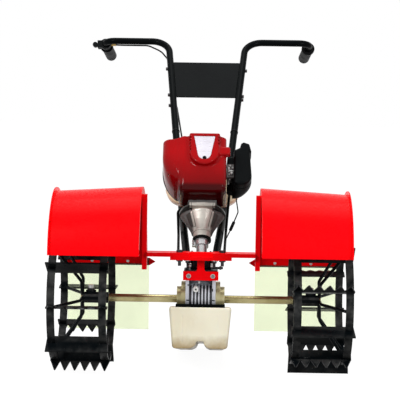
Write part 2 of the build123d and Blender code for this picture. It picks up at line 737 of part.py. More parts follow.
def arch(width, drop, outer_step, inner_step):
    """Band of the fender's side view between two offsets of its curve."""
    crown_z = fender_crown_z - drop
    edges = []
    ends = []
    for step in (outer_step, inner_step):
        points = []
        for foot_y, foot_z in ((fender_front_y, fender_front_z), (fender_rear_y, fender_rear_z)):
            reach = fender_crown_y - foot_y
            rise = crown_z - foot_z
            radius = (reach ** 2 + rise ** 2) / (2 * rise)
            middle_z = crown_z - radius
            foot_angle = math.atan2(foot_z - middle_z, foot_y - fender_crown_y)
            half_angle = (foot_angle + math.pi / 2) / 2
            size = radius + step
            points.append([(fender_crown_y + size * math.cos(a), middle_z + size * math.sin(a))
                           for a in (foot_angle, half_angle)])
        (front, front_mid), (rear, rear_mid) = points
        crown = (fender_crown_y, crown_z + step)
        edges += [ThreePointArc(front, front_mid, crown), ThreePointArc(crown, rear_mid, rear)]
        ends.append((front, rear))
    edges += [Line(ends[0][0], ends[1][0]), Line(ends[0][1], ends[1][1])]
    return Pos(width, 0, 0) * (Plane.YZ * make_face(edges))


fender_outer_x = fender_inner_x + fender_width
sheet_x0 = fender_inner_x + rim_thickness
sheet_x1 = fender_outer_x - rim_thickness
sheet = loft([arch(sheet_x0, 0, 0, -fender_sheet),
              arch(sheet_x1, fender_outer_drop, 0, -fender_sheet)], ruled=True)
nodes["fender_right"] = sheet
nodes["fender_left"] = mirrored(sheet)
inner_rim = extrude(arch(fender_inner_x, 0, 0, -rim_depth), rim_thickness, dir=(1, 0, 0))
outer_rim = extrude(arch(sheet_x1, fender_outer_drop, rim_stand, -rim_depth), rim_thickness, dir=(1, 0, 0))
flap_y = fender_rear_y + fit_gap
flap = block(flap_inner_x, sheet_x1, flap_y, flap_y + flap_thickness, flap_bottom, fender_rear_z + flap_lap)
nodes["mud_flap_right"] = flap
nodes["mud_flap_left"] = mirrored(flap)
strip_y = flap_y + flap_thickness
strip_z = fender_rear_z + flap_lap
strip_tip = fender_inner_x - strip_overhang
strip = front_plate(Polygon(
    (strip_tip, strip_z - strip_height / 2), (strip_tip + strip_point, strip_z), (fender_outer_x, strip_z),
    (fender_outer_x, strip_z - strip_height), (strip_tip + strip_point, strip_z - strip_height),
    align=None), strip_y, strip_y + strip_thickness)
nodes["flap_strip_right"] = strip
nodes["flap_strip_left"] = mirrored(strip)
strip_notch = block(fender_inner_x - overrun, fender_outer_x + overrun, strip_y,
                    strip_y + overrun + rim_stand, fender_rear_z - fender_sheet * overrun, strip_z)
rims = inner_rim + outer_rim - strip_notch
nodes["fender_rim_right"] = rims
nodes["fender_rim_left"] = mirrored(rims)

# Float: upturned nose, flat deck under the gearbox, tail resting on the ground
ground_z = -tip_radius
nose_back = float_front_y + float_nose_depth
float_side = Polygon(
    (float_front_y, float_front_bottom), (float_front_y, float_top_z), (nose_back, float_top_z),
    (nose_back, float_deck_z), (float_bracket_back + float_corner, float_deck_z),
    (float_tail_y, ground_z + float_tail_height), (float_tail_y, ground_z),
    (float_tail_y - float_tail_flat, ground_z), align=None)
float_front = Polygon(
    (-float_top_half, float_top_z), (float_top_half, float_top_z),
    (float_bottom_half, ground_z), (-float_bottom_half, ground_z), align=None)
hull = side_plate(float_side, -float_top_half, float_top_half) & front_plate(
    float_front, float_front_y, float_tail_y)
nose_creases = [edge for edge in hull.edges() if edge.center().Y < float_front_y + fit_gap
                and abs(edge.center().X) > float_bottom_half]
hull = fillet(nose_creases, float_nose_round)
notch_top = float_front_bottom + float_notch_height
notch_foot = float_front_bottom - overrun
notch_wide = float_notch_half + float_lobe_round
lobe_start = float_front_bottom + float_lobe_round
arc_step = float_lobe_round * (1 - math.cos(math.pi / 4))
notch_sides = []
for side in (-1, 1):
    notch_sides.append(Line((side * float_notch_half, notch_top), (side * float_notch_half, lobe_start)))
    notch_sides.append(ThreePointArc(
        (side * float_notch_half, lobe_start),
        (side * (float_notch_half + arc_step), float_front_bottom + arc_step),
        (side * notch_wide, float_front_bottom)))
    notch_sides.append(Line((side * notch_wide, float_front_bottom), (side * notch_wide, notch_foot)))
notch_sides.append(Line((-float_notch_half, notch_top), (float_notch_half, notch_top)))
notch_sides.append(Line((-notch_wide, notch_foot), (notch_wide, notch_foot)))
notch_face = Pos(0, float_front_y - overrun, 0) * (Plane.XZ * make_face(notch_sides))
notch_way = math.radians(float_notch_slope)
hull -= extrude(notch_face, float_tail_y - float_front_y,
                dir=(0, math.cos(notch_way), -math.sin(notch_way)))
nodes["float"] = hull

sheet_top = float_top_z + float_bracket_sheet
leg_back = nose_back + float_bracket_sheet
bracket_side = Polygon(
    (float_lip_y, float_top_z), (float_lip_y, float_lip_top),
    (float_lip_y + float_bracket_sheet, float_lip_top), (float_lip_y + float_bracket_sheet, sheet_top),
    (leg_back, sheet_top), (leg_back, float_deck_z + float_bracket_sheet),
    (float_bracket_back, float_deck_z + float_bracket_sheet), (float_bracket_back, float_deck_z),
    (nose_back, float_deck_z), (nose_back, float_top_z), align=None)
nodes["float_bracket"] = side_plate(bracket_side, -float_bracket_half, float_bracket_half)
foot_top = -gear_core_radius + float_corner
nodes["gearbox_housing"] += block(-worm_radius, worm_radius, -float_bracket_back / 3, float_bracket_back / 3,
                                  float_deck_z + float_bracket_sheet, foot_top)

# Handle: two bent lower tubes, the plate between them, the handlebar halves
foot = Vector(handle_foot_x, handle_foot_y, handle_foot_z)
bend = Vector(handle_bend_x, handle_bend_y, handle_bend_z)
top = Vector(handle_top_x, handle_top_y, handle_top_z)
rise = (top - bend).normalized()
lower_path = FilletPolyline(foot, bend, top, radius=handle_bend_radius)
ring = Circle(handle_radius) - Circle(handle_radius - handle_wall)
lower_tube = sweep(Plane(lower_path @ 0, z_dir=lower_path % 0) * ring, path=lower_path)
nodes["lower_tube_right"] = lower_tube
nodes["lower_tube_left"] = mirrored(lower_tube)

corner = top + rise * (bar_rise / rise.Z)
bar_end = Vector(bar_end_x, corner.Y, corner.Z)
drop = math.radians(grip_drop)
toe = math.radians(grip_toe)
grip_way = Vector(-math.sin(toe) * math.cos(drop), math.cos(toe) * math.cos(drop), -math.sin(drop))
bar_tip = bar_end + grip_way * grip_bar_reach
bar_path = FilletPolyline(top, corner, bar_end, bar_tip, radius=[bar_corner_radius, bar_bend_radius])
handlebar = sweep(Plane(bar_path @ 0, z_dir=bar_path % 0) * ring, path=bar_path)
nodes["handlebar_right"] = handlebar
nodes["handlebar_left"] = mirrored(handlebar)

grip_start = bar_end + grip_way * (grip_bar_reach - grip_length)
grip_plane = Plane(origin=grip_start, x_dir=(1, 0, 0), z_dir=grip_way)
grip_full = grip_length + grip_end
grip = extrude(grip_plane * Circle(grip_radius), grip_full)
grip = fillet(grip.edges().filter_by(GeomType.CIRCLE).sort_by(Axis.Y)[-1], grip_round)
grip += extrude(grip_plane * Circle(grip_collar_radius), grip_collar)
grip -= extrude(grip_plane * Circle(handle_radius + grip_clearance), grip_length + grip_clearance)
nodes["grip_right"] = grip
nodes["grip_left"] = mirrored(grip)

spread = math.atan2(rise.X, math.hypot(rise.Y, rise.Z))
side_step = handle_radius / math.cos(spread)
slope_length = math.hypot(top.Y - bend.Y, top.Z - bend.Z)
plate_length = slope_length * plate_reach_share
low_x = top.X - plate_length * math.tan(spread)
plate_plane = Plane(origin=(0, top.Y, top.Z), x_dir=(1, 0, 0),
                    z_dir=Vector(1, 0, 0).cross(Vector(0, rise.Y, rise.Z)))
plate_outline = Polygon(
    (-(top.X - side_step), 0), (top.X - side_step, 0),
    (low_x - side_step, -plate_length), (-(low_x - side_step), -plate_length), align=None)
plate = extrude(plate_plane * plate_outline, plate_thickness / 2, both=True)
nodes["handle_plate"] = plate

base = block(-cheek_inner_x, cheek_inner_x, cheek_front_y, base_floor_y, pad_top, pad_top + cheek_thickness)
for side in (-1, 1):
    base += block(side * cheek_inner_x, side * (cheek_inner_x + cheek_thickness),
                  cheek_front_y, cheek_back_y, pad_top, cheek_top)
foot_way = (bend - foot).normalized()
bolt_spot = foot + foot_way * (2 * handle_radius)
foot_hole = rod_x(bolt_radius, cheek_inner_x - overrun, handle_foot_x + 2 * handle_radius,
                  bolt_spot.Y, bolt_spot.Z)
foot_bolt = rod_x(bolt_radius, cheek_inner_x - bolt_head_height,
                  bolt_spot.X + handle_radius + bolt_head_height, bolt_spot.Y, bolt_spot.Z)
for side in ("right", "left"):
    hole = foot_hole if side == "right" else mirrored(foot_hole)
    base -= hole
    nodes["lower_tube_" + side] -= hole
nodes["handle_base"] = base
nodes["handle_foot_bolts"] = Compound(children=[foot_bolt, mirrored(foot_bolt)])

clamp_start = bar_end + grip_way * (bar_bend_radius + grip_clearance)
clamp_plane = Plane(origin=clamp_start, x_dir=(1, 0, 0), z_dir=grip_way)
clamp = extrude(clamp_plane * Circle(throttle_radius), throttle_width)
throttle_box = Pos(throttle_radius / 2 + throttle_box_reach / 2, 0) * Rectangle(
    throttle_box_reach, throttle_box_height)
clamp += extrude(clamp_plane * throttle_box, throttle_width)
clamp -= extrude(clamp_plane * Pos(0, 0, -overrun) * Circle(handle_radius + grip_clearance),
                 throttle_width + 2 * overrun)
nodes["throttle_clamp"] = mirrored(clamp)
box_end = throttle_radius / 2 + throttle_box_reach
lever_plane = clamp_plane * Pos(0, 0, (throttle_width - lever_thickness) / 2)
lever = extrude(lever_plane * Pos(box_end + lever_length / 2, 0) * Rectangle(lever_length, lever_width),
                lever_thickness)
lever += extrude(clamp_plane * Pos(box_end + lever_length, 0, (throttle_width - lever_knob_length) / 2)
                 * Circle(lever_knob_radius), lever_knob_length)
nodes["throttle_lever"] = mirrored(lever)

# Cables, held along their whole way
nodes["loom_left"] = piped(loom_left_route, loom_left_bends, loom_radius)
nodes["loom_right"] = piped(loom_right_route, loom_right_bends, loom_radius)
lead_path = FilletPolyline(*lead_route, radius=lead_bends)
lead = sweep(Plane(lead_path @ 0, z_dir=lead_path % 0) * Circle(wire_radius), path=lead_path)
plug_start, plug_end = lead_path @ connector_start_share, lead_path @ connector_end_share
plug = extrude(Plane(origin=plug_start, z_dir=plug_end - plug_start) * Circle(connector_radius),
               (plug_end - plug_start).length)
nodes["ignition_lead"] = lead + plug
nodes["throttle_cable"] = piped(throttle_route, throttle_bends, throttle_cable_radius)

# To the ground frame: origin on the ground, in the middle of the footprint
tilt_share = math.sqrt(1 - grip_way.Y ** 2)
rear_reach = (bar_tip + grip_way * grip_end).Y + (grip_radius - grip_round) * tilt_share
rear_reach += grip_round * (1 - grip_way.Y)
ground_shift = Pos(0, -(rear_reach + fender_front_y - rim_stand) / 2, tip_radius)

os.makedirs("parts", exist_ok=True)
for name, shape in nodes.items():
    export_step(ground_shift * shape, "parts/" + name + ".step")
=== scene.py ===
import itertools
import math
import bpy
import bmesh
import numpy as np
from mathutils import Vector, Matrix


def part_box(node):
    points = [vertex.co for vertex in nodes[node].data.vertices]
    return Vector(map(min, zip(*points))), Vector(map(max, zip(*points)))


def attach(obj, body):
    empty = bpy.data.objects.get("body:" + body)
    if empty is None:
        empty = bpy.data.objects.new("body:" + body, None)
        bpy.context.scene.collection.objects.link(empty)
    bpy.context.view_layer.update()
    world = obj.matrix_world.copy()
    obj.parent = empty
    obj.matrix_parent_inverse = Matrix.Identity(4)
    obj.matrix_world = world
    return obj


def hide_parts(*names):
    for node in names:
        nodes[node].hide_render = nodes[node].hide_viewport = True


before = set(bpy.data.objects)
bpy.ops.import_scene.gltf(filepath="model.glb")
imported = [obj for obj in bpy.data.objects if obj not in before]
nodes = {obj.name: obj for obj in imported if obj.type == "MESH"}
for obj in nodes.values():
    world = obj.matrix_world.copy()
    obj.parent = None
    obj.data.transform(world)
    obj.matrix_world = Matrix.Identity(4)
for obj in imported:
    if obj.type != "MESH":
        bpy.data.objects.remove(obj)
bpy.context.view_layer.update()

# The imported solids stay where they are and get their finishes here. Four of them give way
# to sculpted mouldings, and the weeder's fasteners and small fittings are added.

# The middle of the axle in metres; places below are written from it in millimetres.
axle_lo, axle_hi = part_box("axle")
AXLE = (axle_lo + axle_hi) / 2
MM = 0.001

# The engine's own frame: across, along the inclined shaft from the engine's face, up from the shaft.
INCLINE = math.radians(52.0)
SHAFT_HEIGHT = 62.0
ENGINE_FACE = 179.0
ALONG = Vector((0.0, math.cos(INCLINE), math.sin(INCLINE)))
UPWARD = Vector((0.0, -math.sin(INCLINE), math.cos(INCLINE)))


def at(x, y, z):
    """A place about the axle, in metres."""
    return AXLE + Vector((x, y, z)) * MM


def on_engine(x, along, up):
    """A place in the engine's frame, in metres."""
    offset = Vector((x, 0.0, 0.0)) + ALONG * (ENGINE_FACE + along) + UPWARD * up
    return at(0.0, 0.0, SHAFT_HEIGHT) + offset * MM


# Camera: its place about the axle in millimetres, its turn in degrees, its sensor and lens
CAMERA_PLACE = (38.0, -3500.0, 617.0)
PITCH, YAW, ROLL = 5.955, 0.708, 0.8
SENSOR, LENS = 36.0, 126.0
CLIP_NEAR, CLIP_FAR = 0.1, 60.0
cam_data = bpy.data.cameras.new("view_camera")
cam_data.sensor_width = SENSOR
cam_data.lens = LENS
cam_data.clip_start = CLIP_NEAR
cam_data.clip_end = CLIP_FAR
camera = bpy.data.objects.new("view_camera", cam_data)
bpy.context.scene.collection.objects.link(camera)
aim = (Matrix.Rotation(math.radians(YAW), 4, "Z") @ Matrix.Rotation(math.radians(90.0 - PITCH), 4, "X")
       @ Matrix.Rotation(math.radians(ROLL), 4, "Z"))
camera.matrix_world = Matrix.Translation(at(*CAMERA_PLACE)) @ aim
bpy.context.scene.camera = camera


# Materials
class Net:
    """Small helper that builds a node material."""

    def __init__(self, name):
        self.mat = bpy.data.materials.new(name)
        self.mat.use_nodes = True
        self.tree = self.mat.node_tree
        self.tree.nodes.clear()
        self.out = self.tree.nodes.new("ShaderNodeOutputMaterial")
        self.bsdf = self.tree.nodes.new("ShaderNodeBsdfPrincipled")
        self.link(self.bsdf.outputs["BSDF"], self.out.inputs["Surface"])
        self.coord = self.tree.nodes.new("ShaderNodeTexCoord").outputs["Object"]

    def link(self, a, b):
        self.tree.links.new(a, b)

    def set(self, name, value):
        self.bsdf.inputs[name].default_value = value

    def math(self, operation, *values):
        node = self.tree.nodes.new("ShaderNodeMath")
        node.operation = operation
        for socket, value in zip(node.inputs, values):
            if isinstance(value, (int, float)):
                socket.default_value = value
            else:
                self.link(value, socket)
        return node.outputs[0]

    def split(self):
        """The place of the point being shaded, in metres."""
        node = self.tree.nodes.new("ShaderNodeSeparateXYZ")
        self.link(self.coord, node.inputs["Vector"])
        return node.outputs["X"], node.outputs["Y"], node.outputs["Z"]

    def engine_split(self, y, z):
        """The same place along the shaft, counted from over the axle, and up from the shaft."""
        run = self.math("SUBTRACT", y, AXLE.y)
        rise = self.math("SUBTRACT", z, AXLE.z + SHAFT_HEIGHT * MM)
        return [self.math("ADD", self.math("MULTIPLY", run, way.y), self.math("MULTIPLY", rise, way.z))
                for way in (ALONG, UPWARD)]

    def noise(self, scale, detail=3.0, rough=0.55, stretch=None):
        source = self.coord
        if stretch:
            mapping = self.tree.nodes.new("ShaderNodeMapping")
            mapping.inputs["Scale"].default_value = stretch
            self.link(source, mapping.inputs["Vector"])
            source = mapping.outputs["Vector"]
        node = self.tree.nodes.new("ShaderNodeTexNoise")
        node.inputs["Scale"].default_value = scale
        node.inputs["Detail"].default_value = detail
        node.inputs["Roughness"].default_value = rough
        self.link(source, node.inputs["Vector"])
        return node.outputs["Fac"]

    def ramp(self, fac, stops):
        node = self.tree.nodes.new("ShaderNodeValToRGB")
        ramp = node.color_ramp
        while len(ramp.elements) < len(stops):
            ramp.elements.new(0.5)
        for element, (place, colour) in zip(ramp.elements, stops):
            element.position = place
            element.color = tuple(colour) + (1.0,)
        self.link(fac, node.inputs["Fac"])
        return node.outputs["Color"]

    def map(self, fac, lo, hi, from_lo=0.3, from_hi=0.7):
        node = self.tree.nodes.new("ShaderNodeMapRange")
        node.inputs["From Min"].default_value = from_lo
        node.inputs["From Max"].default_value = from_hi
        node.inputs["To Min"].default_value = lo
        node.inputs["To Max"].default_value = hi
        self.link(fac, node.inputs["Value"])
        return node.outputs["Result"]

    def mix(self, fac, a, b):
        node = self.tree.nodes.new("ShaderNodeMix")
        node.data_type = "RGBA"
        for socket, value in (("A", a), ("B", b)):
            target = [i for i in node.inputs if i.name == socket and i.type == "RGBA"][0]
            if isinstance(value, (tuple, list)):
                target.default_value = tuple(value) + (1.0,)
            else:
                self.link(value, target)
        self.link(fac, [i for i in node.inputs if i.name == "Factor"][0])
        return [o for o in node.outputs if o.type == "RGBA"][0]

    def bump(self, height, distance, strength=0.5):
        node = self.tree.nodes.new("ShaderNodeBump")
        node.inputs["Distance"].default_value = distance
        node.inputs["Strength"].default_value = strength
        self.link(height, node.inputs["Height"])
        return node.outputs["Normal"]

    def worn_edges(self):
        """0 on flats, 1 along sharp outer edges."""
        node = self.tree.nodes.new("ShaderNodeNewGeometry")
        return self.map(node.outputs["Pointiness"], 0.0, 1.0, 0.53, 0.6)


def paint(name, colour, dark, rough=0.3, gloss=0.2, peel=0.0002, chips=None, grain=260.0):
    """Painted or moulded surface: broad colour drift, fine orange peel, chips where asked."""
    net = Net(name)
    body = net.ramp(net.noise(9.0, 4.0), [(0.32, dark), (0.62, colour)])
    net.link(net.map(net.noise(60.0, 3.0), rough * 0.85, rough * 1.2), net.bsdf.inputs["Roughness"])
    if chips:
        specks = net.map(net.noise(140.0, 5.0, 0.7), 0.0, 1.0, 0.66, 0.7)
        wear = net.math("MULTIPLY", net.worn_edges(), net.map(net.noise(45.0, 3.0), 0.0, 0.7))
        body = net.mix(wear, net.mix(specks, body, chips), chips)
    net.link(body, net.bsdf.inputs["Base Color"])
    net.set("Specular IOR Level", gloss)
    net.link(net.bump(net.noise(grain, 2.0), peel, 0.35), net.bsdf.inputs["Normal"])
    return net.mat


def metal(name, colour, dark, rough=0.35, grain=(1.0, 1.0, 1.0), scale=80.0, depth=0.0002, metallic=0.7):
    """Bare or plated metal with fine grain and broad tarnish."""
    net = Net(name)
    net.set("Metallic", metallic)
    streak = net.noise(scale, 4.0, 0.6, grain)
    body = net.ramp(net.noise(12.0, 4.0), [(0.35, dark), (0.65, colour)])
    net.link(net.mix(net.map(streak, 0.0, 0.5), body, dark), net.bsdf.inputs["Base Color"])
    net.link(net.map(streak, rough * 0.75, rough * 1.35), net.bsdf.inputs["Roughness"])
    net.link(net.bump(streak, depth, 0.4), net.bsdf.inputs["Normal"])
    return net.mat


# Where painted shade lies on the gearbox's grooves, the shroud and the bell, where the gearbox is made dark
# above its pad, and where the float is stained, in millimetres.
# Places along the shaft are counted from over the axle.
GROOVE_FLOOR, GROOVE_LIP, GROOVE_HALF = 49.5, 54.0, 28.8
GEARBOX_PAD = 79.7
SHROUD_FRONT_FADE, SHROUD_LOW_FADE, SHROUD_HEIGHT_SHADE_FADE = (203.0, 221.0), (108.0, 136.0), (290.0, 365.0)
BELL_RIB_START, BELL_RIB_END, BELL_RIB_NARROW, BELL_RIB_WIDE = 130.0, 173.0, 19.0, 31.0
BELL_RIB_SHADE = 3.2
BELL_NECK_FADE = (125.0, 133.0)
FLOAT_STAIN_FADE = (-128.0, -96.0)
# How far the float's bottom falls for each step to the back
FLOAT_FALL = 76.0 / 340.0


def fade(net, value, span, start=1.0, end=0.0):
    """From the start value to the end value over a span in millimetres."""
    return net.map(value, start, end, span[0] * MM, span[1] * MM)


def finned_casting(name, colour, dark):
    """Blasted aluminium with painted shade in its grooves, and made near black above the pad's top."""
    net = Net(name)
    net.set("Metallic", 0.6)
    x, y, z = net.split()
    from_y = net.math("SUBTRACT", y, AXLE.y)
    from_z = net.math("SUBTRACT", z, AXLE.z)
    radius = net.math("SQRT", net.math("ADD", net.math("MULTIPLY", from_y, from_y),
                                       net.math("MULTIPLY", from_z, from_z)))
    inner = net.math("LESS_THAN", net.math("ABSOLUTE", x), GROOVE_HALF * MM)
    # Painted shade: close to the axle, in the grooves between the fins, the casting is mixed towards near
    # black. Above the pad's top it is near black too.
    painted_shade = net.math("MULTIPLY", fade(net, radius, (GROOVE_FLOOR, GROOVE_LIP)), inner)
    above = net.math("GREATER_THAN", z, AXLE.z + GEARBOX_PAD * MM)
    grain = net.noise(190.0, 4.0, 0.6)
    body = net.ramp(net.noise(14.0, 4.0), [(0.35, dark), (0.65, colour)])
    darkened_body = net.mix(net.math("MAXIMUM", painted_shade, above), body, (0.012, 0.012, 0.014))
    net.link(darkened_body, net.bsdf.inputs["Base Color"])
    net.link(net.map(grain, 0.3, 0.5), net.bsdf.inputs["Roughness"])
    net.link(net.bump(grain, 0.0004, 0.5), net.bsdf.inputs["Normal"])
    return net.mat


def moulding_red(name, colour, dark, shade):
    """Deep glossy red moulding with painted shade: darker low on its front, and darker towards its bottom.
    """
    net = Net(name)
    x, y, z = net.split()
    along, up = net.engine_split(y, z)
    # Painted shade: the low front corner and the lower part of the moulding are mixed towards the dark
    # shade colour.
    corner = net.math("MULTIPLY", fade(net, along, SHROUD_FRONT_FADE), fade(net, up, SHROUD_LOW_FADE))
    height = net.math("SUBTRACT", z, AXLE.z)
    painted_low_shade = net.math("MAXIMUM", corner, fade(net, height, SHROUD_HEIGHT_SHADE_FADE, 0.6))
    body = net.ramp(net.noise(8.0, 3.0), [(0.32, dark), (0.62, colour)])
    net.link(net.mix(painted_low_shade, body, shade), net.bsdf.inputs["Base Color"])
    net.link(net.map(net.noise(60.0, 3.0), 0.09, 0.14), net.bsdf.inputs["Roughness"])
    net.set("Specular IOR Level", 0.05)
    net.set("Coat Weight", 0.12)
    net.set("Coat Roughness", 0.04)
    net.link(net.bump(net.noise(260.0, 2.0), 0.00005, 0.35), net.bsdf.inputs["Normal"])
    return net.mat


def bell_casting(name, colour, dark):
    """Cast aluminium with painted shade and dark reflection beside the bell's two ribs and in a thin line
    inside each.
    """
    net = Net(name)
    net.set("Metallic", 0.55)
    x, y, z = net.split()
    along, up = net.engine_split(y, z)
    rib = fade(net, along, (BELL_RIB_START, BELL_RIB_END), BELL_RIB_NARROW * MM, BELL_RIB_WIDE * MM)
    beside = net.math("SUBTRACT", net.math("ABSOLUTE", x), rib)
    inside = net.math("ABSOLUTE", net.math("ADD", beside, BELL_RIB_SHADE * MM))
    # Painted shade and dark reflection: outside the ribs, and in a thin line inside each, the casting is
    # mixed to dark grey, fading out towards the neck.
    painted_shade = net.math("MAXIMUM", fade(net, beside, (1.0, 3.0), 0.0, 1.0), fade(net, inside, (0.4, 1.2), 0.8))
    painted_shade = net.math("MULTIPLY", painted_shade, fade(net, along, BELL_NECK_FADE, 0.0, 1.0))
    grain = net.noise(190.0, 4.0, 0.6)
    body = net.ramp(net.noise(22.0, 4.0), [(0.35, dark), (0.65, colour)])
    net.link(net.mix(painted_shade, body, (0.055, 0.053, 0.048)), net.bsdf.inputs["Base Color"])
    net.link(net.map(grain, 0.28, 0.48), net.bsdf.inputs["Roughness"])
    net.link(net.bump(grain, 0.0005, 0.5), net.bsdf.inputs["Normal"])
    return net.mat


def moulded_float(name):
    """Cream blow-moulded plastic, stained brown where it drags through mud."""
    net = Net(name)
    low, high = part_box("float")
    x, y, z = net.split()
    slope = net.math("MULTIPLY_ADD", net.math("SUBTRACT", y, low.y), FLOAT_FALL, z)
    level = net.math("MULTIPLY_ADD", net.noise(16.0, 5.0, 0.6), -0.05, slope)
    depth = net.math("SUBTRACT", level, high.z)
    stain = fade(net, depth, FLOAT_STAIN_FADE)
    scuff = net.map(net.noise(34.0, 6.0, 0.7, (1.0, 1.0, 0.35)), 0.0, 0.22, 0.55, 0.75)
    clean = net.ramp(net.noise(5.0, 3.0), [(0.35, (0.78, 0.71, 0.52)), (0.65, (0.90, 0.86, 0.69))])
    worn = net.mix(scuff, clean, (0.55, 0.42, 0.24))
    net.link(net.mix(stain, worn, (0.40, 0.29, 0.14)), net.bsdf.inputs["Base Color"])
    net.set("Roughness", 0.4)
    net.set("Specular IOR Level", 0.5)
    net.set("Subsurface Weight", 0.15)
    net.set("Subsurface Radius", (0.02, 0.015, 0.008))
    net.link(net.bump(net.noise(70.0, 3.0), 0.0006, 0.4), net.bsdf.inputs["Normal"])
    return net.mat


def milky_plastic(name, colour, rough, through=0.0, bend=1.45):
    """Pale plastic; a thin sheet of it lets the background through."""
    net = Net(name)
    light = tuple(min(1.0, c * 1.08) for c in colour)
    net.link(net.ramp(net.noise(10.0, 3.0), [(0.3, colour), (0.7, light)]), net.bsdf.inputs["Base Color"])
    net.set("Roughness", rough)
    net.set("Transmission Weight", through)
    net.set("IOR", bend)
    net.set("Specular IOR Level", 0.3)
    net.link(net.bump(net.noise(18.0, 2.0), 0.002, 0.35), net.bsdf.inputs["Normal"])
    return net.mat


MATS = {
    "fender_red": paint("fender_red", (0.97, 0.001, 0.004), (0.91, 0.001, 0.003), 0.28, 0.04, 0.00012),
    "bar_red": paint("bar_red", (0.96, 0.001, 0.004), (0.88, 0.001, 0.003), 0.30, 0.05, 0.0002),
    "engine_red": moulding_red("engine_red", (0.34, 0.0003, 0.002), (0.27, 0.0003, 0.0015),
                               (0.055, 0.0004, 0.001)),
    "drum_black": paint("drum_black", (0.0030, 0.0044, 0.0054), (0.0018, 0.0028, 0.0036), 0.30, 0.03,
                        0.0003, chips=(0.07, 0.07, 0.068)),
    "black_paint": paint("black_paint", (0.0020, 0.0030, 0.0034), (0.0014, 0.0020, 0.0024), 0.24, 0.025,
                         0.00005),
    "black_plastic": paint("black_plastic", (0.0034, 0.0044, 0.0048), (0.0022, 0.0028, 0.0032), 0.38, 0.035,
                           0.0004, grain=420.0),
    "rubber": paint("rubber", (0.0042, 0.0044, 0.0048), (0.0028, 0.0030, 0.0034), 0.5, 0.06, 0.0006),
    "cable_black": paint("cable_black", (0.0040, 0.0044, 0.0048), (0.0028, 0.0030, 0.0034), 0.34, 0.06,
                         0.0001),
    "axle_zinc": metal("axle_zinc", (0.52, 0.46, 0.25), (0.24, 0.20, 0.08), 0.22, (1.0, 14.0, 14.0), 30.0,
                       metallic=0.9),
    "flange_zinc": metal("flange_zinc", (0.60, 0.55, 0.34), (0.42, 0.37, 0.19), 0.34),
    "gear_silver": finned_casting("gear_silver", (0.60, 0.61, 0.65), (0.40, 0.41, 0.45)),
    "tube_silver": metal("tube_silver", (0.66, 0.66, 0.67), (0.46, 0.46, 0.47), 0.24, (1.0, 1.0, 1.0),
                         120.0),
    "cast_grey": bell_casting("cast_grey", (0.62, 0.60, 0.54), (0.44, 0.42, 0.38)),
    "cast_dark": metal("cast_dark", (0.16, 0.155, 0.15), (0.10, 0.098, 0.095), 0.5, scale=190.0,
                       depth=0.0006, metallic=0.4),
    # A lighter copy of the bell's casting: painted highlight along its ribs
    "rib_highlight_metal": metal("rib_highlight_metal", (0.72, 0.70, 0.65), (0.55, 0.53, 0.49), 0.34, scale=190.0,
                       depth=0.0005),
    "steel_grey": metal("steel_grey", (0.22, 0.22, 0.215), (0.12, 0.12, 0.118), 0.35),
    "steel": metal("steel", (0.60, 0.60, 0.59), (0.38, 0.38, 0.37), 0.3),
    "steel_dark": metal("steel_dark", (0.05, 0.05, 0.052), (0.025, 0.025, 0.027), 0.35),
    "brass": metal("brass", (0.62, 0.44, 0.12), (0.42, 0.28, 0.07), 0.28),
    "muffler_steel": metal("muffler_steel", (0.16, 0.14, 0.12), (0.08, 0.07, 0.06), 0.5, scale=60.0),
    "label_silver": metal("label_silver", (0.74, 0.72, 0.78), (0.56, 0.54, 0.60), 0.3, (1.0, 9.0, 9.0),
                          22.0, metallic=0.45),
    "plug_white": paint("plug_white", (0.82, 0.82, 0.79), (0.70, 0.70, 0.67), 0.4),
    "float_plastic": moulded_float("float_plastic"),
    "flap_plastic": milky_plastic("flap_plastic", (0.86, 0.93, 0.68), 0.12, 0.88, 1.04),
    "tank_plastic": milky_plastic("tank_plastic", (0.78, 0.66, 0.45), 0.3),
}

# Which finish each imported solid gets.
LOOK = {
    "drum_black": ["drum_left", "drum_right"],
    "axle_zinc": ["axle"],
    "gear_silver": ["gearbox_housing"],
    "flange_zinc": ["output_flange_left", "output_flange_right"],
    "plug_white": ["oil_plug"],
    "tube_silver": ["shaft_tube", "tube_collar"],
    "rubber": ["clutch_seal", "grip_left", "grip_right"],
    "cast_grey": ["clutch_housing"],
    "cast_dark": ["engine_block", "tank_stay", "carburettor"],
    "engine_red": ["engine_shroud"],
    "muffler_steel": ["muffler"],
    "tank_plastic": ["fuel_tank"],
    "black_plastic": ["muffler_guard", "fuel_cap", "air_cleaner_cover", "recoil_starter", "throttle_clamp",
                      "throttle_lever"],
    "cable_black": ["loom_left", "loom_right", "ignition_lead", "throttle_cable"],
    "bar_red": ["centre_bracket", "cross_bar_left", "cross_bar_right", "fender_post_left",
                "fender_post_right", "flap_strip_left", "flap_strip_right"],
    "fender_red": ["fender_left", "fender_right", "fender_rim_left", "fender_rim_right"],
    "flap_plastic": ["mud_flap_left", "mud_flap_right"],
    "float_plastic": ["float"],
    "black_paint": ["float_bracket", "lower_tube_left", "lower_tube_right", "handlebar_left",
                    "handlebar_right", "handle_plate", "handle_base"],
    "steel_dark": ["bracket_bolts", "handle_foot_bolts"],
    "steel": ["hub_bolt_left", "hub_bolt_right"],
}
for look, names in LOOK.items():
    for name in names:
        mesh = nodes[name].data
        mesh.materials.clear()
        mesh.materials.append(MATS[look])


# Making pieces
SMOOTH_ANGLE = math.radians(34.0)


def settle(piece, look, stands_for=()):
    """Gives a new piece its finish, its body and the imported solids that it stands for."""
    bpy.context.scene.collection.objects.link(piece)
    piece.data.materials.append(MATS[look])
    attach(piece, "frame")
    if stands_for:
        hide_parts(*stands_for)


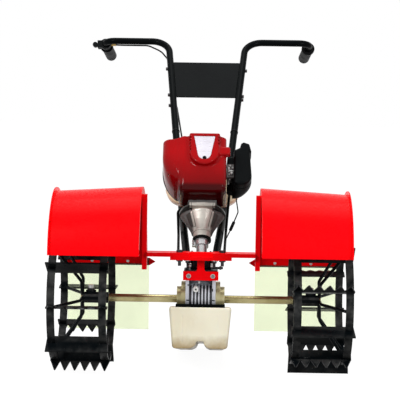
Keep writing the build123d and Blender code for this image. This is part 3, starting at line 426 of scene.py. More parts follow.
class Fittings:
    """Collects small turned and milled parts into one mesh."""

    def __init__(self):
        self.mesh = bmesh.new()

    def turned(self, profile, place, axis, sides=24):
        """A closed turned part: its profile is pairs of radius and height in millimetres."""
        way = Vector(axis).normalized()
        across = way.orthogonal().normalized()
        third = way.cross(across)
        rings = []
        for radius, height in profile:
            middle = place + way * height * MM
            if radius == 0.0:
                rings.append([self.mesh.verts.new(middle)] * sides)
                continue
            ring = []
            for turn in range(sides):
                angle = 2.0 * math.pi * turn / sides
                spoke = across * math.cos(angle) + third * math.sin(angle)
                ring.append(self.mesh.verts.new(middle + spoke * radius * MM))
            rings.append(ring)
        for low, high in zip(rings, rings[1:]):
            for turn in range(sides):
                after = (turn + 1) % sides
                corners = []
                for vert in (low[turn], low[after], high[after], high[turn]):
                    if vert not in corners:
                        corners.append(vert)
                if len(corners) > 2:
                    self.mesh.faces.new(corners)

    def block(self, place, size, turn=None, bevel=0.6):
        """A block with broken edges: its size in millimetres along the turned axes."""
        made = bmesh.ops.create_cube(self.mesh, size=1.0)["verts"]
        edges = list({edge for vert in made for edge in vert.link_edges})
        for vert in made:
            vert.co = Vector(vert.co[i] * size[i] * MM for i in range(3))
        cut = bmesh.ops.bevel(self.mesh, geom=edges, offset=bevel * MM, segments=2, affect="EDGES",
                              profile=0.5)
        spot = Matrix.Translation(place) @ (turn.to_4x4() if turn else Matrix.Identity(4))
        moved = list(set(cut["verts"]) | {vert for vert in made if vert.is_valid})
        bmesh.ops.transform(self.mesh, matrix=spot, verts=moved)

    def piece(self, name, look, slot):
        """Turns what was collected into one piece, smooth but for its sharp edges."""
        bmesh.ops.recalc_face_normals(self.mesh, faces=self.mesh.faces[:])
        for face in self.mesh.faces:
            face.smooth = True
        for edge in self.mesh.edges:
            edge.smooth = len(edge.link_faces) == 2 and edge.calc_face_angle() < SMOOTH_ANGLE
        data = bpy.data.meshes.new(name)
        self.mesh.to_mesh(data)
        self.mesh.free()
        settle(bpy.data.objects.new(name, data), look)


def disc(fittings, place, axis, radius, height, sides=24, broken=0.0):
    """Pin, stud or washer, its far edge broken where asked."""
    rim = [(radius, height - 0.75 * broken), (radius - broken, height)] if broken else [(radius, height)]
    fittings.turned([(0.0, 0.0), (radius, 0.0)] + rim + [(0.0, height)], place, axis, sides)


def bolt(fittings, place, axis, across, height, washer=0.0):
    """Hexagonal head with broken corners, over a washer where one is asked for."""
    seat = place
    if washer:
        disc(fittings, place, axis, washer, 1.3, 32, 0.4)
        seat = place + Vector(axis).normalized() * 1.2 * MM
    corner = across / 2.0 / math.cos(math.pi / 6.0)
    fittings.turned([(0.0, 0.0), (corner, 0.0), (corner, height * 0.75), (corner * 0.86, height),
                     (0.0, height)], seat, axis, 6)


def screw(fittings, place, axis, radius, height):
    """Round socket head with its recess."""
    fittings.turned([(0.0, 0.0), (radius, 0.0), (radius, height * 0.8), (radius * 0.86, height),
                     (radius * 0.5, height), (radius * 0.5, height * 0.4), (0.0, height * 0.3)],
                    place, axis)


def skin(name, field, low, high, step, place, look, stands_for=()):
    """Mesh of the surface where a field in millimetres crosses zero: a point in each crossed cell."""
    low = np.array(low)
    counts = [int(math.ceil((b - a) / step)) + 1 for a, b in zip(low, high)]
    lines = [a + step * np.arange(n) for a, n in zip(low, counts)]
    value = field(*np.meshgrid(*lines, indexing="ij"))
    inside = value < 0.0
    cells = tuple(n - 1 for n in counts)
    total = np.zeros(cells + (3,))
    hits = np.zeros(cells)

    def corner_of(array, corner):
        return array[tuple(slice(c, c + n) for c, n in zip(corner, cells))]

    for start in itertools.product((0, 1), repeat=3):
        for axis in range(3):
            if start[axis]:
                continue
            end = tuple(1 if k == axis else c for k, c in enumerate(start))
            first, second = corner_of(value, start), corner_of(value, end)
            crossed = (first < 0.0) != (second < 0.0)
            share = np.where(crossed, first / np.where(crossed, first - second, 1.0), 0.0)
            for k in range(3):
                total[..., k] += share if k == axis else crossed * start[k]
            hits += crossed
    used = hits > 0
    number = np.full(cells, -1)
    number[used] = np.arange(int(used.sum()))
    points = low + step * (np.argwhere(used) + total[used] / hits[used][:, None])
    faces = []
    for axis in range(3):
        second, third = (axis + 1) % 3, (axis + 2) % 3
        lower = inside.take(range(counts[axis] - 1), axis)
        upper = inside.take(range(1, counts[axis]), axis)
        spots = np.argwhere(lower != upper)
        keep = ((spots[:, second] >= 1) & (spots[:, second] < counts[second] - 1)
                & (spots[:, third] >= 1) & (spots[:, third] < counts[third] - 1))
        spots = spots[keep]
        back_b, back_c = np.eye(3, dtype=int)[[second, third]]
        stay = np.zeros(3, dtype=int)
        round_edge = ((back_b, back_c), (stay, back_c), (stay, stay), (back_b, stay))
        quads = np.stack([number[tuple((spots - b - c).T)] for b, c in round_edge], axis=1)
        outward = lower[tuple(spots.T)]
        faces += quads[outward].tolist() + quads[~outward][:, ::-1].tolist()
    data = bpy.data.meshes.new(name)
    data.from_pydata([place(*p) for p in points.tolist()], [], faces)
    data.polygons.foreach_set("use_smooth", [True] * len(data.polygons))
    data.update()
    settle(bpy.data.objects.new(name, data), look, stands_for)


def outline_distance(px, py, points):
    """Signed distance to a closed outline, below zero inside."""
    nearest = np.full(px.shape, 1.0e9)
    inside = np.zeros(px.shape, bool)
    for (ax, ay), (bx, by) in zip(points, points[1:] + points[:1]):
        ex, ey = bx - ax, by - ay
        wx, wy = px - ax, py - ay
        share = np.clip((wx * ex + wy * ey) / (ex * ex + ey * ey), 0.0, 1.0)
        nearest = np.minimum(nearest, (wx - ex * share) ** 2 + (wy - ey * share) ** 2)
        if ey:
            inside ^= ((ay <= py) != (by <= py)) & (px < ax + wy * ex / ey)
    return np.where(inside, -1.0, 1.0) * np.sqrt(nearest)


def upright(plan, height, low, high, edge):
    """Field of a block that stands on a plan between two heights, with its edges rounded."""
    across = plan + edge
    along = np.abs(height - (low + high) / 2.0) - (high - low) / 2.0 + edge
    return (np.minimum(np.maximum(across, along), 0.0)
            + np.hypot(np.maximum(across, 0.0), np.maximum(along, 0.0)) - edge)


def plan_distance(x, s, points):
    """Signed distance to an outline drawn across and along the engine, the same at every height."""
    return outline_distance(x[:, :, :1], s[:, :, :1], points)


def box_field(x, y, z, low, high):
    """Field of a plain box between two corners."""
    parts = [np.abs(v - (a + b) / 2.0) - (b - a) / 2.0 for v, a, b in zip((x, y, z), low, high)]
    return np.maximum(np.maximum(parts[0], parts[1]), parts[2])


def melt(a, b, reach):
    """Two fields joined with a soft fillet."""
    share = np.clip(0.5 + 0.5 * (b - a) / reach, 0.0, 1.0)
    return b * (1.0 - share) + a * share - reach * share * (1.0 - share)


def arc_points(middle, radius, start, end, count):
    """Points along an arc between two angles in degrees."""
    spots = []
    for step in range(count + 1):
        angle = math.radians(start + (end - start) * step / count)
        spots.append((middle[0] + radius * math.cos(angle), middle[1] + radius * math.sin(angle)))
    return spots


def rounded(points, radius, count=6):
    """An outline whose corners are rounded, given in turning order."""
    spots = []
    for before, corner, after in zip(points[-1:] + points[:-1], points, points[1:] + points[:1]):
        corner = Vector(corner)
        back, forth = (Vector(before) - corner).normalized(), (Vector(after) - corner).normalized()
        half = back.angle(forth) / 2.0
        reach = radius / math.tan(half)
        start, end = corner + back * reach, corner + forth * reach
        for step in range(count + 1):
            share = step / count
            bent = start.lerp(corner, share).lerp(corner.lerp(end, share), share)
            spots.append((bent.x, bent.y))
    return spots


def nosed(middle, half, turn_half, rear, turn, nose):
    """Plan with straight sides and a round nose, as the raised tongue and its label have."""
    reach = turn - nose
    radius = (turn_half ** 2 + reach ** 2) / (2.0 * reach)
    swing = math.degrees(math.asin(turn_half / radius))
    front = arc_points((middle, nose + radius), radius, 270.0 - swing, 270.0 + swing, 16)
    return front + [(middle + half, rear), (middle - half, rear)]


# Engine shroud: one glossy moulding, its lobe and tongue melted into the middle housing.
# Sizes are in millimetres in the engine's frame. OVER carries a cut or a body past its neighbour.
OVER = 30.0
SHROUD_LEFT, SHROUD_RIGHT, SHROUD_FRONT, SHROUD_REAR = -61.0, 60.0, 12.0, 168.0
SHROUD_FOOT, SHROUD_SHOULDER, SHROUD_WALL = 20.0, 112.0, 3.0
NOSE_FALL_START, NOSE_FALL = 70.0, 0.0035
LOBE_LEFT, LOBE_INNER, LOBE_FRONT, LOBE_REAR = -105.0, -40.0, 33.0, 158.0
LOBE_TOP_MIDDLE, LOBE_TOP_RADIUS = (-58.3, 126.0), 46.7
LOBE_LOW_MIDDLE, LOBE_LOW_RADIUS = (17.0, 115.0), 122.0
LOBE_LEAN_START, LOBE_LEAN_SPAN, LOBE_LEAN, LOBE_SLOPE = 55.0, 55.0, 0.55, 0.16
TONGUE_MIDDLE, TONGUE_TOP = 3.5, 128.0
TONGUE_HALF, TONGUE_TURN_HALF, TONGUE_TURN, TONGUE_NOSE = 41.0, 37.0, 110.0, 74.0
KNOB = [(34.0, 108.0), (70.0, 108.0), (70.0, 132.0), (34.0, 132.0)]
KNOB_FOOT, KNOB_TOP = 104.0, 121.0
LABEL_HALF, LABEL_TURN_HALF, LABEL_REAR, LABEL_TURN, LABEL_NOSE = 28.0, 18.0, 160.0, 104.0, 88.0
RECESS_DEPTH = 2.5
LABEL_SUNK, LABEL_THICK, LABEL_BREAK = 0.4, 1.3, 0.4
LOUVRES = [116.0 + 9.5 * i for i in range(5)]
LOUVRE_WIDTH, LOUVRE_REACH, LOUVRE_BOTH_SIDES = 4.5, 6.5, 132.0
# Hollows for the crankcase, the front's corner, the muffler, the bell's lip and the carburettor
SHROUD_ROOMS = [
    ((SHROUD_LEFT + SHROUD_WALL, 42.0, -OVER), (SHROUD_RIGHT - SHROUD_WALL, 200.0, 96.0)),
    ((SHROUD_LEFT + SHROUD_WALL + 1.0, SHROUD_FRONT + SHROUD_WALL, -OVER),
     (SHROUD_RIGHT - SHROUD_WALL, 60.0, 74.0)),
    ((-88.0, 63.0, -OVER), (SHROUD_LEFT + 10.0, 200.0, 87.0)),
    ((-36.3, -OVER, -OVER), (36.3, SHROUD_FRONT + 10.0, 50.3)),
    ((SHROUD_RIGHT - 10.0, 82.7, -OVER), (SHROUD_RIGHT + OVER, 113.3, 59.3))]


def shroud_housing(x, s, u):
    plan = plan_distance(x, s, rounded(
        [(SHROUD_LEFT, SHROUD_FRONT), (SHROUD_RIGHT, SHROUD_FRONT),
         (SHROUD_RIGHT, SHROUD_REAR + OVER), (SHROUD_LEFT, SHROUD_REAR + OVER)], 13.0))
    fall = NOSE_FALL * np.maximum(0.0, NOSE_FALL_START - s) ** 2
    return upright(plan, u + fall, SHROUD_FOOT - OVER, SHROUD_SHOULDER, 15.0)


def shroud_lobe(x, s, u):
    rear = [(LOBE_LEFT, LOBE_REAR + OVER), (LOBE_INNER, LOBE_REAR + OVER)]
    top_arc = arc_points(LOBE_TOP_MIDDLE, LOBE_TOP_RADIUS, 270.0, 190.0, 14)
    top = plan_distance(x, s, top_arc + rear + [(LOBE_INNER, LOBE_TOP_MIDDLE[1] - LOBE_TOP_RADIUS)])
    low_arc = arc_points(LOBE_LOW_MIDDLE, LOBE_LOW_RADIUS, 222.0, 180.0, 14)
    low = plan_distance(x, s, low_arc + rear + [(LOBE_INNER, LOBE_FRONT)])
    lean = LOBE_LEAN * np.clip((u - LOBE_LEAN_START) / LOBE_LEAN_SPAN, 0.0, 1.0) ** 2
    slope = LOBE_SLOPE * np.maximum(0.0, SHROUD_LEFT - x)
    side = low * (1.0 - lean) + top * lean
    lobe = upright(side, u + slope, SHROUD_FOOT - OVER, SHROUD_SHOULDER - 1.0, 19.0)
    return np.maximum(lobe, s - LOBE_REAR - 4.0)


def shroud_field(x, s, u):
    solid = melt(shroud_housing(x, s, u), shroud_lobe(x, s, u), 15.0)
    tongue_plan = plan_distance(x, s, nosed(
        TONGUE_MIDDLE, TONGUE_HALF, TONGUE_TURN_HALF, SHROUD_REAR + OVER, TONGUE_TURN, TONGUE_NOSE))
    solid = melt(solid, upright(tongue_plan, u, SHROUD_SHOULDER - OVER, TONGUE_TOP, 5.5), 9.0)
    knob_plan = plan_distance(x, s, rounded(KNOB, 6.0))
    solid = melt(solid, upright(knob_plan, u, KNOB_FOOT, KNOB_TOP, 4.5), 7.0)
    solid = np.maximum(np.maximum(solid, s - SHROUD_REAR), SHROUD_FOOT - u)
    recess = plan_distance(x, s, nosed(
        TONGUE_MIDDLE, LABEL_HALF, LABEL_TURN_HALF, LABEL_REAR, LABEL_TURN, LABEL_NOSE))
    solid = np.maximum(solid, -np.maximum(recess, TONGUE_TOP - RECESS_DEPTH - u))
    for start in LOUVRES:
        for way in (-1, 1) if start > LOUVRE_BOTH_SIDES else (-1,):
            edge_x = TONGUE_MIDDLE + way * TONGUE_HALF
            slot = box_field(x, s, u, (edge_x - LOUVRE_REACH, start, SHROUD_SHOULDER + 2.0),
                             (edge_x + LOUVRE_REACH, start + LOUVRE_WIDTH, TONGUE_TOP + OVER))
            solid = np.maximum(solid, -slot)
    for low, high in SHROUD_ROOMS:
        solid = np.maximum(solid, -box_field(x, s, u, low, high))
    return solid


skin("shroud_moulding", shroud_field, (-109.0, 8.0, 16.0), (74.0, 172.0, 132.0), 1.5, on_engine,
     "engine_red", ["engine_shroud"])

# Bare silver plate on the recess's floor, its top edge broken, and the screw through it
label_part = Fittings()
label = label_part.mesh
label_outline = nosed(TONGUE_MIDDLE, LABEL_HALF - 1.0, LABEL_TURN_HALF - 1.0, LABEL_REAR - 1.0,
                      LABEL_TURN + 0.5, LABEL_NOSE + 1.0)
label_floor = TONGUE_TOP - RECESS_DEPTH - LABEL_SUNK
bottom = [label.verts.new(on_engine(px, py, label_floor)) for px, py in label_outline]
face = label.faces.new(bottom)
lifted = bmesh.ops.extrude_face_region(label, geom=[face])
risen = [g for g in lifted["geom"] if isinstance(g, bmesh.types.BMVert)]
bmesh.ops.translate(label, verts=risen, vec=UPWARD * LABEL_THICK * MM)
top_edges = [e for e in label.edges if all(v in risen for v in e.verts)]
bmesh.ops.bevel(label, geom=top_edges, offset=LABEL_BREAK * MM, segments=2, affect="EDGES")
label_part.piece("label_plate", "label_silver", "bolt_steel")

label_screw = Fittings()
screw(label_screw, on_engine(4.0, 92.0, label_floor + 0.8), UPWARD, 5.0, 3.0)
label_screw.piece("label_screw", "black_plastic", "black_plastic")


# Air cleaner cover, the housing behind it, and the fuel tank: soft mouldings
CLEANER_INNER, CLEANER_FOOT, CLEANER_TOP, CLEANER_EDGE = 80.0, 2.0, 80.0, 7.0
CLEANER_FRONT = arc_points((98.0, 73.0), 28.0, 250.0, 360.0, 14)
CLEANER_REAR = [(126.0, 146.0), (120.0, 171.0), (105.0, 177.0), (98.0, 172.0), (95.0, 159.0),
                (CLEANER_INNER, 151.0)]
# Its rear corners are rounded, all but the last, which stays sharp against the housing.
CORNER_POINTS = 7
CLEANER_REAR = rounded(CLEANER_REAR, 3.2)[:-CORNER_POINTS] + CLEANER_REAR[-1:]
CLEANER_TUCK, CLEANER_TUCK_START = 0.010, 46.0
CLEANER_SEAM, CLEANER_SEAM_HALF, CLEANER_SEAM_DEPTH = 58.0, 0.9, 1.6
BASE_PLAN = [(62.0, 62.0), (86.0, 56.0), (86.0, 152.0), (64.0, 146.0)]
BASE_FOOT, BASE_TOP = -4.0, 50.0
BASE_STEP = ((60.0, 50.0, 22.0), (74.0, 90.0, 60.0))
TANK_PLAN = [(-100.0, 60.0), (100.0, 60.0), (100.0, 179.0), (-100.0, 179.0)]
TANK_FOOT, TANK_TOP, TANK_EDGE = -108.0, -52.0, 14.0
TANK_SLOPE, TANK_SLOPE_END, TANK_SLOPE_SPAN = 32.0, 120.0, 60.0
TANK_TUCK, TANK_TUCK_START = 0.006, -70.0
TANK_SEAM, TANK_SEAM_HALF, TANK_SEAM_STAND = -78.0, 1.2, 1.6


def cleaner_field(x, s, u):
    plan = [(CLEANER_INNER, 52.0)] + CLEANER_FRONT + CLEANER_REAR
    tuck = CLEANER_TUCK * np.maximum(0.0, CLEANER_TUCK_START - u) ** 2
    side = outline_distance(x + tuck, s, plan)
    solid = upright(side, u, CLEANER_FOOT, CLEANER_TOP, CLEANER_EDGE)
    groove = np.abs(u - CLEANER_SEAM) - CLEANER_SEAM_HALF
    return np.maximum(solid, -np.maximum(groove, -(side + CLEANER_SEAM_DEPTH)))


skin("cleaner_moulding", cleaner_field, (76.0, 40.0, -2.0), (130.0, 181.0, 84.0), 1.3, on_engine,
     "black_plastic", ["air_cleaner_cover"])


def cleaner_base_field(x, s, u):
    solid = upright(plan_distance(x, s, rounded(BASE_PLAN, 6.0)), u, BASE_FOOT, BASE_TOP, 5.0)
    return np.maximum(solid, -box_field(x, s, u, *BASE_STEP))


skin("cleaner_base", cleaner_base_field, (60.0, 52.0, -8.0), (90.0, 156.0, 54.0), 1.6, on_engine,
     "black_plastic")


def tank_field(x, s, u):
    plan = plan_distance(x, s, rounded(TANK_PLAN, 56.0, 12))
    slope = TANK_SLOPE * np.clip((TANK_TOP - u) / (TANK_TOP - TANK_FOOT), 0.0, 1.0)
    slope = slope * np.clip((TANK_SLOPE_END - s) / TANK_SLOPE_SPAN, 0.0, 1.0)
    side = plan + slope + TANK_TUCK * np.maximum(0.0, TANK_TUCK_START - u) ** 2
    solid = upright(side, u, TANK_FOOT, TANK_TOP, TANK_EDGE)
    seam = np.maximum(np.abs(u - TANK_SEAM) - TANK_SEAM_HALF, np.abs(side) - TANK_SEAM_STAND)
    return np.minimum(solid, seam)


skin("tank_moulding", tank_field, (-104.0, 56.0, -112.0), (104.0, 184.0, -48.0), 1.8, on_engine,
     "tank_plastic", ["fuel_tank"])


# Float: blow-moulded hull with an upturned nose and a channel along its bottom, about the axle
FLOAT_FRONT, FLOAT_REAR, FLOAT_LOW, FLOAT_TOP = -85.0, 285.0, -186.0, -7.0
FLOAT_SIDE = [(FLOAT_FRONT, -110.0), (FLOAT_FRONT, FLOAT_TOP), (-64.0, FLOAT_TOP), (-64.0, -62.0),
              (82.0, -62.0), (FLOAT_REAR, -160.0), (FLOAT_REAR, FLOAT_LOW), (255.0, FLOAT_LOW)]
FLOAT_HALF_LOW, FLOAT_HALF_MORE, FLOAT_EDGE = 62.0, 16.0, 7.0
CHANNEL_HALF, CHANNEL_ROOF = 9.0, -92.0
LOBE_TURN_START, LOBE_TURN_TALL, LOBE_TURN_WIDE = -93.0, 17.0, 20.0
PRESSED_X, PRESSED_HALF, PRESSED_DEPTH, PRESSED_Z, PRESSED_TALL = 44.0, 1.5, 1.2, -62.0, 34.0


def float_field(x, y, z):
    side = outline_distance(y[:1], z[:1], FLOAT_SIDE)
    half = FLOAT_HALF_LOW + FLOAT_HALF_MORE * (z - FLOAT_LOW) / (FLOAT_TOP - FLOAT_LOW)
    across, along = side + FLOAT_EDGE, np.abs(x) - half + FLOAT_EDGE
    solid = (np.minimum(np.maximum(across, along), 0.0)
             + np.hypot(np.maximum(across, 0.0), np.maximum(along, 0.0)) - FLOAT_EDGE)
    level = z + (y - FLOAT_FRONT) * FLOAT_FALL
    turn = np.clip((LOBE_TURN_START - level) / LOBE_TURN_TALL, 0.0, 1.0)
    wide = CHANNEL_HALF + LOBE_TURN_WIDE * (1.0 - np.sqrt(1.0 - turn * turn))
    channel = np.maximum(np.abs(x) - wide, level - CHANNEL_ROOF)
    press = np.maximum(np.abs(np.abs(x) - PRESSED_X) - PRESSED_HALF, y - FLOAT_FRONT - PRESSED_DEPTH)
    press = np.maximum(press, np.abs(z - PRESSED_Z) - PRESSED_TALL)
    return np.maximum(np.maximum(solid, -channel), -press)


skin("float_moulding", float_field, (-82.0, -89.0, -189.0), (82.0, 289.0, -3.0), 2.2, at,
     "float_plastic", ["float"])


# Clutch housing: the cast webs beside the bell, its two ribs and its screws
WEBS_START, WEBS_END, WEBS_GROW_START, WEBS_GROW_SPAN = -60.0, -3.0, -58.0, 52.0
WEBS_NARROW, WEBS_WIDER, WEBS_FLARE = 27.0, 31.0, 1.25
WEBS_SHALLOW, WEBS_DEEPER, WEBS_DROP = 20.0, 18.0, 4.0


def webs_field(x, s, u):
    share = np.clip((s - WEBS_GROW_START) / WEBS_GROW_SPAN, 0.0, 1.0)
    wide = WEBS_NARROW + WEBS_WIDER * share ** WEBS_FLARE
    deep = WEBS_SHALLOW + WEBS_DEEPER * share
    shape = (np.hypot(x / wide, (u + WEBS_DROP) / deep) - 1.0) * deep * 0.8
    return np.maximum(np.maximum(shape, s - WEBS_END), WEBS_START - s)


# The webs take the dark casting finish, darker than the bell beside them: painted shade on the same cast
# aluminium.
skin("clutch_webs", webs_field, (-64.0, -64.0, -48.0), (64.0, 2.0, 44.0), 1.5, on_engine,
     "cast_dark")

RIB_NOSE, RIB_LIP = (19.5, -49.0, 19.5), (27.6, -14.0, 36.5)
RIB_WIDTH, RIB_STAND = 2.6, 4.4
# The ribs take a lighter metal than the bell's casting: a painted highlight along them.
bell_ribs = Fittings()
for side in (-1, 1):
    low, high = [on_engine(side * x, along, up) for x, along, up in (RIB_NOSE, RIB_LIP)]
    way = (high - low).normalized()
    out = (UPWARD - way * way.dot(UPWARD)).normalized()
    rib_turn = Matrix((out.cross(way), way, out)).transposed()
    bell_ribs.block((low + high) / 2.0, (RIB_WIDTH, (high - low).length / MM, RIB_STAND), rib_turn, 0.7)
bell_ribs.piece("bell_ribs", "rib_highlight_metal", "cast_grey")

LIP_FACE, LIP_SCREW_UP = -4.2, 40.0
lip_screws = Fittings()
for x in (-30.0, 32.0):
    screw(lip_screws, on_engine(x, LIP_FACE, LIP_SCREW_UP), -ALONG, 4.0, 4.0)
lip_screws.piece("lip_screws", "steel_dark", "bolt_steel")

collar_screws = Fittings()
for along in (-92.0, -84.5):
    screw(collar_screws, on_engine(-21.5, along, 3.8), Vector((-0.5, 0.0, 0.0)) + UPWARD, 3.0, 3.4)
collar_screws.piece("collar_screws", "steel", "bolt_steel")

# Bolts of the bracket's foot, about the axle
TO_FRONT, TO_BACK, TO_TOP, TO_FOOT = (0.0, -1.0, 0.0), (0.0, 1.0, 0.0), (0.0, 0.0, 1.0), (0.0, 0.0, -1.0)
FOOT_BOLT_X, FOOT_BOLT_Z, FOOT_FACE = 30.0, 69.0, -66.0
foot_bolts = Fittings()
foot_washers = Fittings()
for side in (-1, 1):
    bolt(foot_bolts, at(side * FOOT_BOLT_X, FOOT_FACE - 1.2, FOOT_BOLT_Z), TO_FRONT, 7.5, 3.4)
    foot_washers.turned([(0.0, 0.0), (5.8, 0.0), (5.8, 0.9), (5.4, 1.3), (0.0, 1.3)],
                        at(side * FOOT_BOLT_X, FOOT_FACE, FOOT_BOLT_Z), TO_FRONT, 32)
foot_bolts.piece("bracket_foot_bolts", "steel_grey", "bolt_steel")
foot_washers.piece("bracket_foot_washers", "steel", "bolt_steel")

# Bolts along the handle's tubes, as shares of the way from the lower bend to the top
TUBE_BEND = Vector((57.3, 269.0, 197.0))
TUBE_TOP = Vector((109.3, 738.5, 590.0))
TUBE_RADIUS = 10.0
tube_bolts = Fittings()
for side, shares in ((-1, (0.951, 0.760, 0.685)), (1, (0.944, 0.756, 0.731))):
    for share in shares:
        spot = TUBE_BEND.lerp(TUBE_TOP, share)
        place = at(side * (spot.x + TUBE_RADIUS - 0.6), spot.y, spot.z)
        bolt(tube_bolts, place, (side, 0.0, 0.0), 9.0, 4.5, 5.5)
tube_bolts.piece("tube_bolts", "steel_dark", "bolt_steel")

# Bolts of the flaps' strips, with a head in front and a nut behind
STRIP_BOLTS_X, STRIP_BOLTS_Z, STRIP_FRONT, STRIP_BACK = (-295.0, -199.0, 195.0, 291.0), 63.0, 215.4, 221.2
strip_bolts = Fittings()
for x in STRIP_BOLTS_X:
    bolt(strip_bolts, at(x, STRIP_FRONT, STRIP_BOLTS_Z), TO_FRONT, 8.0, 3.0, 6.0)
    bolt(strip_bolts, at(x, STRIP_BACK, STRIP_BOLTS_Z), TO_BACK, 8.0, 4.5, 6.0)
strip_bolts.piece("strip_bolts", "steel", "bolt_steel")

# Studs, nuts and spacers of the clamp above the bracket's foot
STUD_X, STUD_Y, STUD_FOOT, STUD_TALL, NUT_Z = 33.0, -45.0, 86.5, 24.0, 104.0
SPACER_X, SPACER_Y, SPACER_Z = 24.5, -50.0, 93.0
clamp_hardware = Fittings()
clamp_washers = Fittings()
for side in (-1, 1):
    disc(clamp_hardware, at(side * STUD_X, STUD_Y, STUD_FOOT), TO_TOP, 3.4, STUD_TALL)
    bolt(clamp_hardware, at(side * STUD_X, STUD_Y, NUT_Z), TO_FOOT, 11.0, 6.0)
    disc(clamp_washers, at(side * STUD_X, STUD_Y, NUT_Z + 0.2), TO_TOP, 7.4, 1.6, 28)
    disc(clamp_washers, at(side * SPACER_X, SPACER_Y, SPACER_Z), (side, 0, 0), 5.6, 5.0, 28)
    bolt(clamp_hardware, at(side * (SPACER_X + 5.5), SPACER_Y, SPACER_Z), (side, 0, 0), 10.0, 5.5)
# Its cross pin with a nut on the right, and a short pin on the left
clamp_hardware.turned([(0.0, 0.0), (3.2, 0.0), (3.2, 26.0), (2.4, 27.0), (0.0, 27.0)],
                      at(28.0, -47.0, 87.0), (1, 0, 0))
bolt(clamp_hardware, at(46.0, -47.0, 87.0), (1, 0, 0), 9.0, 5.0)
disc(clamp_hardware, at(-30.0, -48.0, 84.5), (-1, 0, 0), 3.0, 9.0)
clamp_hardware.piece("clamp_hardware", "steel_dark", "bolt_steel")
clamp_washers.piece("clamp_washers", "steel", "bolt_steel")

# Gearbox: the plug's ring and socket, the breather, and thin dark plates that paint shade into the
# casting's pockets
PLUG = (-12.0, -66.0, 35.0)
BREATHER = (-4.0, -56.0, 52.0)
plug_ring = Fittings()
plug_ring.turned([(2.6, -1.0), (6.9, -1.0), (6.9, 1.2), (6.0, 2.2), (3.4, 2.2), (2.6, 1.2), (2.6, -1.0)],
                 at(*PLUG), TO_FRONT, 32)
plug_ring.turned([(0.0, 0.0), (2.4, 0.0), (2.4, 2.0), (1.6, 2.6), (0.0, 2.6)], at(*BREATHER), TO_FRONT)
plug_ring.piece("plug_ring", "plug_white", "plug_white")
plug_socket = Fittings()
disc(plug_socket, at(*PLUG), TO_FRONT, 2.5, 0.6, 6)
plug_socket.piece("plug_socket", "steel_dark", "bolt_steel")

POCKET_FACE = -58.0
POCKETS = ((-32.0, 6.5, 7.0, 3.6), (31.5, 6.5, 8.0, 3.6), (29.0, 33.0, 4.6, 7.5), (-31.0, 45.0, 3.0, 5.0))
pockets = Fittings()
# Thin dark plates stand on the casting where its pockets are: painted shade.
for x, z, wide, tall in POCKETS:
    pockets.block(at(x, POCKET_FACE, z), (wide, 0.8, tall), None, 0.35)
pockets.piece("gearbox_pocket_shade", "steel_dark", "bolt_steel")

# Carburettor's small parts: screws on its front and top, the linkage, a cap and a knob
CARBURETTOR_FRONT, CARBURETTOR_TOP = 76.5, 59.5
fittings = Fittings()
for x, up in ((69.0, 52.0), (76.0, 38.0), (66.0, 34.0)):
    screw(fittings, on_engine(x, CARBURETTOR_FRONT, up), -ALONG, 2.4, 2.6)
for x, along in ((68.0, 86.0), (77.0, 106.0), (70.0, 112.0)):
    screw(fittings, on_engine(x, along, CARBURETTOR_TOP), UPWARD, 2.4, 2.6)
engine_turn = Matrix((Vector((1.0, 0.0, 0.0)), ALONG, UPWARD)).transposed()
fittings.block(on_engine(73.0, 96.0, 61.0), (14.0, 3.0, 3.0), engine_turn, 0.8)
fittings.block(on_engine(67.0, 99.0, 63.0), (3.0, 16.0, 2.0), engine_turn, 0.8)
fittings.turned([(0.0, 0.0), (4.5, 0.0), (4.5, 3.0), (3.0, 4.0), (0.0, 4.0)],
                on_engine(74.0, 90.0, 59.2), UPWARD, 20)
fittings.turned([(0.0, 0.0), (3.0, 0.0), (3.0, 9.0), (2.2, 10.0), (0.0, 10.0)],
                on_engine(66.5, 76.8, 44.0), -ALONG, 20)
fittings.piece("carburettor_fittings", "steel", "bolt_steel")

# Cable's end at the lever, and the ties round the tubes
FERRULE_PLACE, FERRULE_WAY = (-296.0, 856.0, 641.4), (1.0, 0.0, -0.02)
ferrule = Fittings()
ferrule.turned([(2.4, 0.0), (4.0, 0.0), (4.0, 3.0), (3.2, 4.0), (3.2, 9.0), (4.0, 10.0), (4.0, 13.0),
                (2.4, 13.0), (2.4, 0.0)], at(*FERRULE_PLACE), FERRULE_WAY, 20)
ferrule.piece("cable_ferrule", "brass", "bolt_steel")

TIE_SHARES, TIE_WIDTH, TIE_RADIUS = (0.08, 0.5), 4.0, 11.2
ties = Fittings()
tie_way = (TUBE_TOP - TUBE_BEND).normalized()
for side in (-1, 1):
    for share in TIE_SHARES:
        spot = TUBE_BEND.lerp(TUBE_TOP, share)
        way = Vector((side * tie_way.x, tie_way.y, tie_way.z))
        ties.turned([(TUBE_RADIUS, 0.0), (TIE_RADIUS, 0.0), (TIE_RADIUS, TIE_WIDTH),
                     (TUBE_RADIUS, TIE_WIDTH), (TUBE_RADIUS, 0.0)],
                    at(side * spot.x, spot.y, spot.z), way, 28)
ties.piece("cable_ties", "cable_black", "cable_black")


# Floor, backdrop and light
def backdrop_strength(tree):
    """1 for rays that should see the pale background, 0 for the light that falls on the object."""
    path = tree.nodes.new("ShaderNodeLightPath")
    strongest = path.outputs["Is Camera Ray"]
    for ray in ("Is Glossy Ray", "Is Transmission Ray"):
        node = tree.nodes.new("ShaderNodeMath")
        node.operation = "MAXIMUM"
        tree.links.new(strongest, node.inputs[0])
        tree.links.new(path.outputs[ray], node.inputs[1])
        strongest = node.outputs[0]
    return strongest


def floor_material(name, shade, glow):
    net = Net(name)
    net.set("Base Color", (shade, shade, shade, 1.0))
    net.set("Roughness", 0.9)
    net.set("Specular IOR Level", 0.0)
    net.set("Emission Color", (1.0, 1.0, 1.0, 1.0))
    net.link(net.math("MULTIPLY", backdrop_strength(net.tree), glow), net.bsdf.inputs["Emission Strength"])
    return net.mat


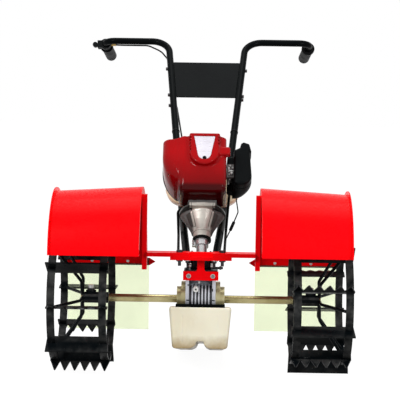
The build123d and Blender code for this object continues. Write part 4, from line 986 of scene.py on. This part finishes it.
FLOOR_SHADE, FLOOR_GLOW = 0.14, 0.95
FLOOR_REACH, FLOOR_LEVEL = 12.0, -0.0005
floor_mesh = bpy.data.meshes.new("floor")
floor_corners = [(x * FLOOR_REACH, y * FLOOR_REACH, FLOOR_LEVEL)
                 for x, y in ((-1, -1), (1, -1), (1, 1), (-1, 1))]
floor_mesh.from_pydata(floor_corners, [], [(0, 1, 2, 3)])
floor = bpy.data.objects.new("floor", floor_mesh)
bpy.context.scene.collection.objects.link(floor)
floor_mesh.materials.append(floor_material("floor_white", FLOOR_SHADE, FLOOR_GLOW))

# The world lights the object softly, and is white where it is seen.
WORLD_LIGHT, WORLD_SEEN = 0.5, 1.0
world = bpy.data.worlds.new("studio")
bpy.context.scene.world = world
world.use_nodes = True
tree = world.node_tree
tree.nodes.clear()
world_out = tree.nodes.new("ShaderNodeOutputWorld")
choose = tree.nodes.new("ShaderNodeMixShader")
tree.links.new(backdrop_strength(tree), choose.inputs["Fac"])
for socket, strength in ((1, WORLD_LIGHT), (2, WORLD_SEEN)):
    glow = tree.nodes.new("ShaderNodeBackground")
    glow.inputs["Color"].default_value = (1.0, 1.0, 1.0, 1.0)
    glow.inputs["Strength"].default_value = strength
    tree.links.new(glow.outputs[0], choose.inputs[socket])
tree.links.new(choose.outputs[0], world_out.inputs["Surface"])

# Lamps: name, place in metres, size in metres and power in watts, all aimed at the machine's middle
LAMP_TARGET = Vector((0.0, 0.0, 0.4))
LAMPS = (("key", (-1.7, -2.5, 2.2), 1.0, 62.0),
         ("fill", (2.0, -2.5, 1.3), 1.2, 44.0),
         ("top", (0.0, 0.3, 3.4), 2.0, 38.0))
for name, place, size, power in LAMPS:
    data = bpy.data.lights.new(name, "AREA")
    data.shape = "SQUARE"
    data.size = size
    data.energy = power
    lamp = bpy.data.objects.new(name, data)
    bpy.context.scene.collection.objects.link(lamp)
    lamp.location = place
    lamp.rotation_euler = (LAMP_TARGET - Vector(place)).to_track_quat("-Z", "Y").to_euler()

bpy.context.scene.view_settings.view_transform = "Standard"
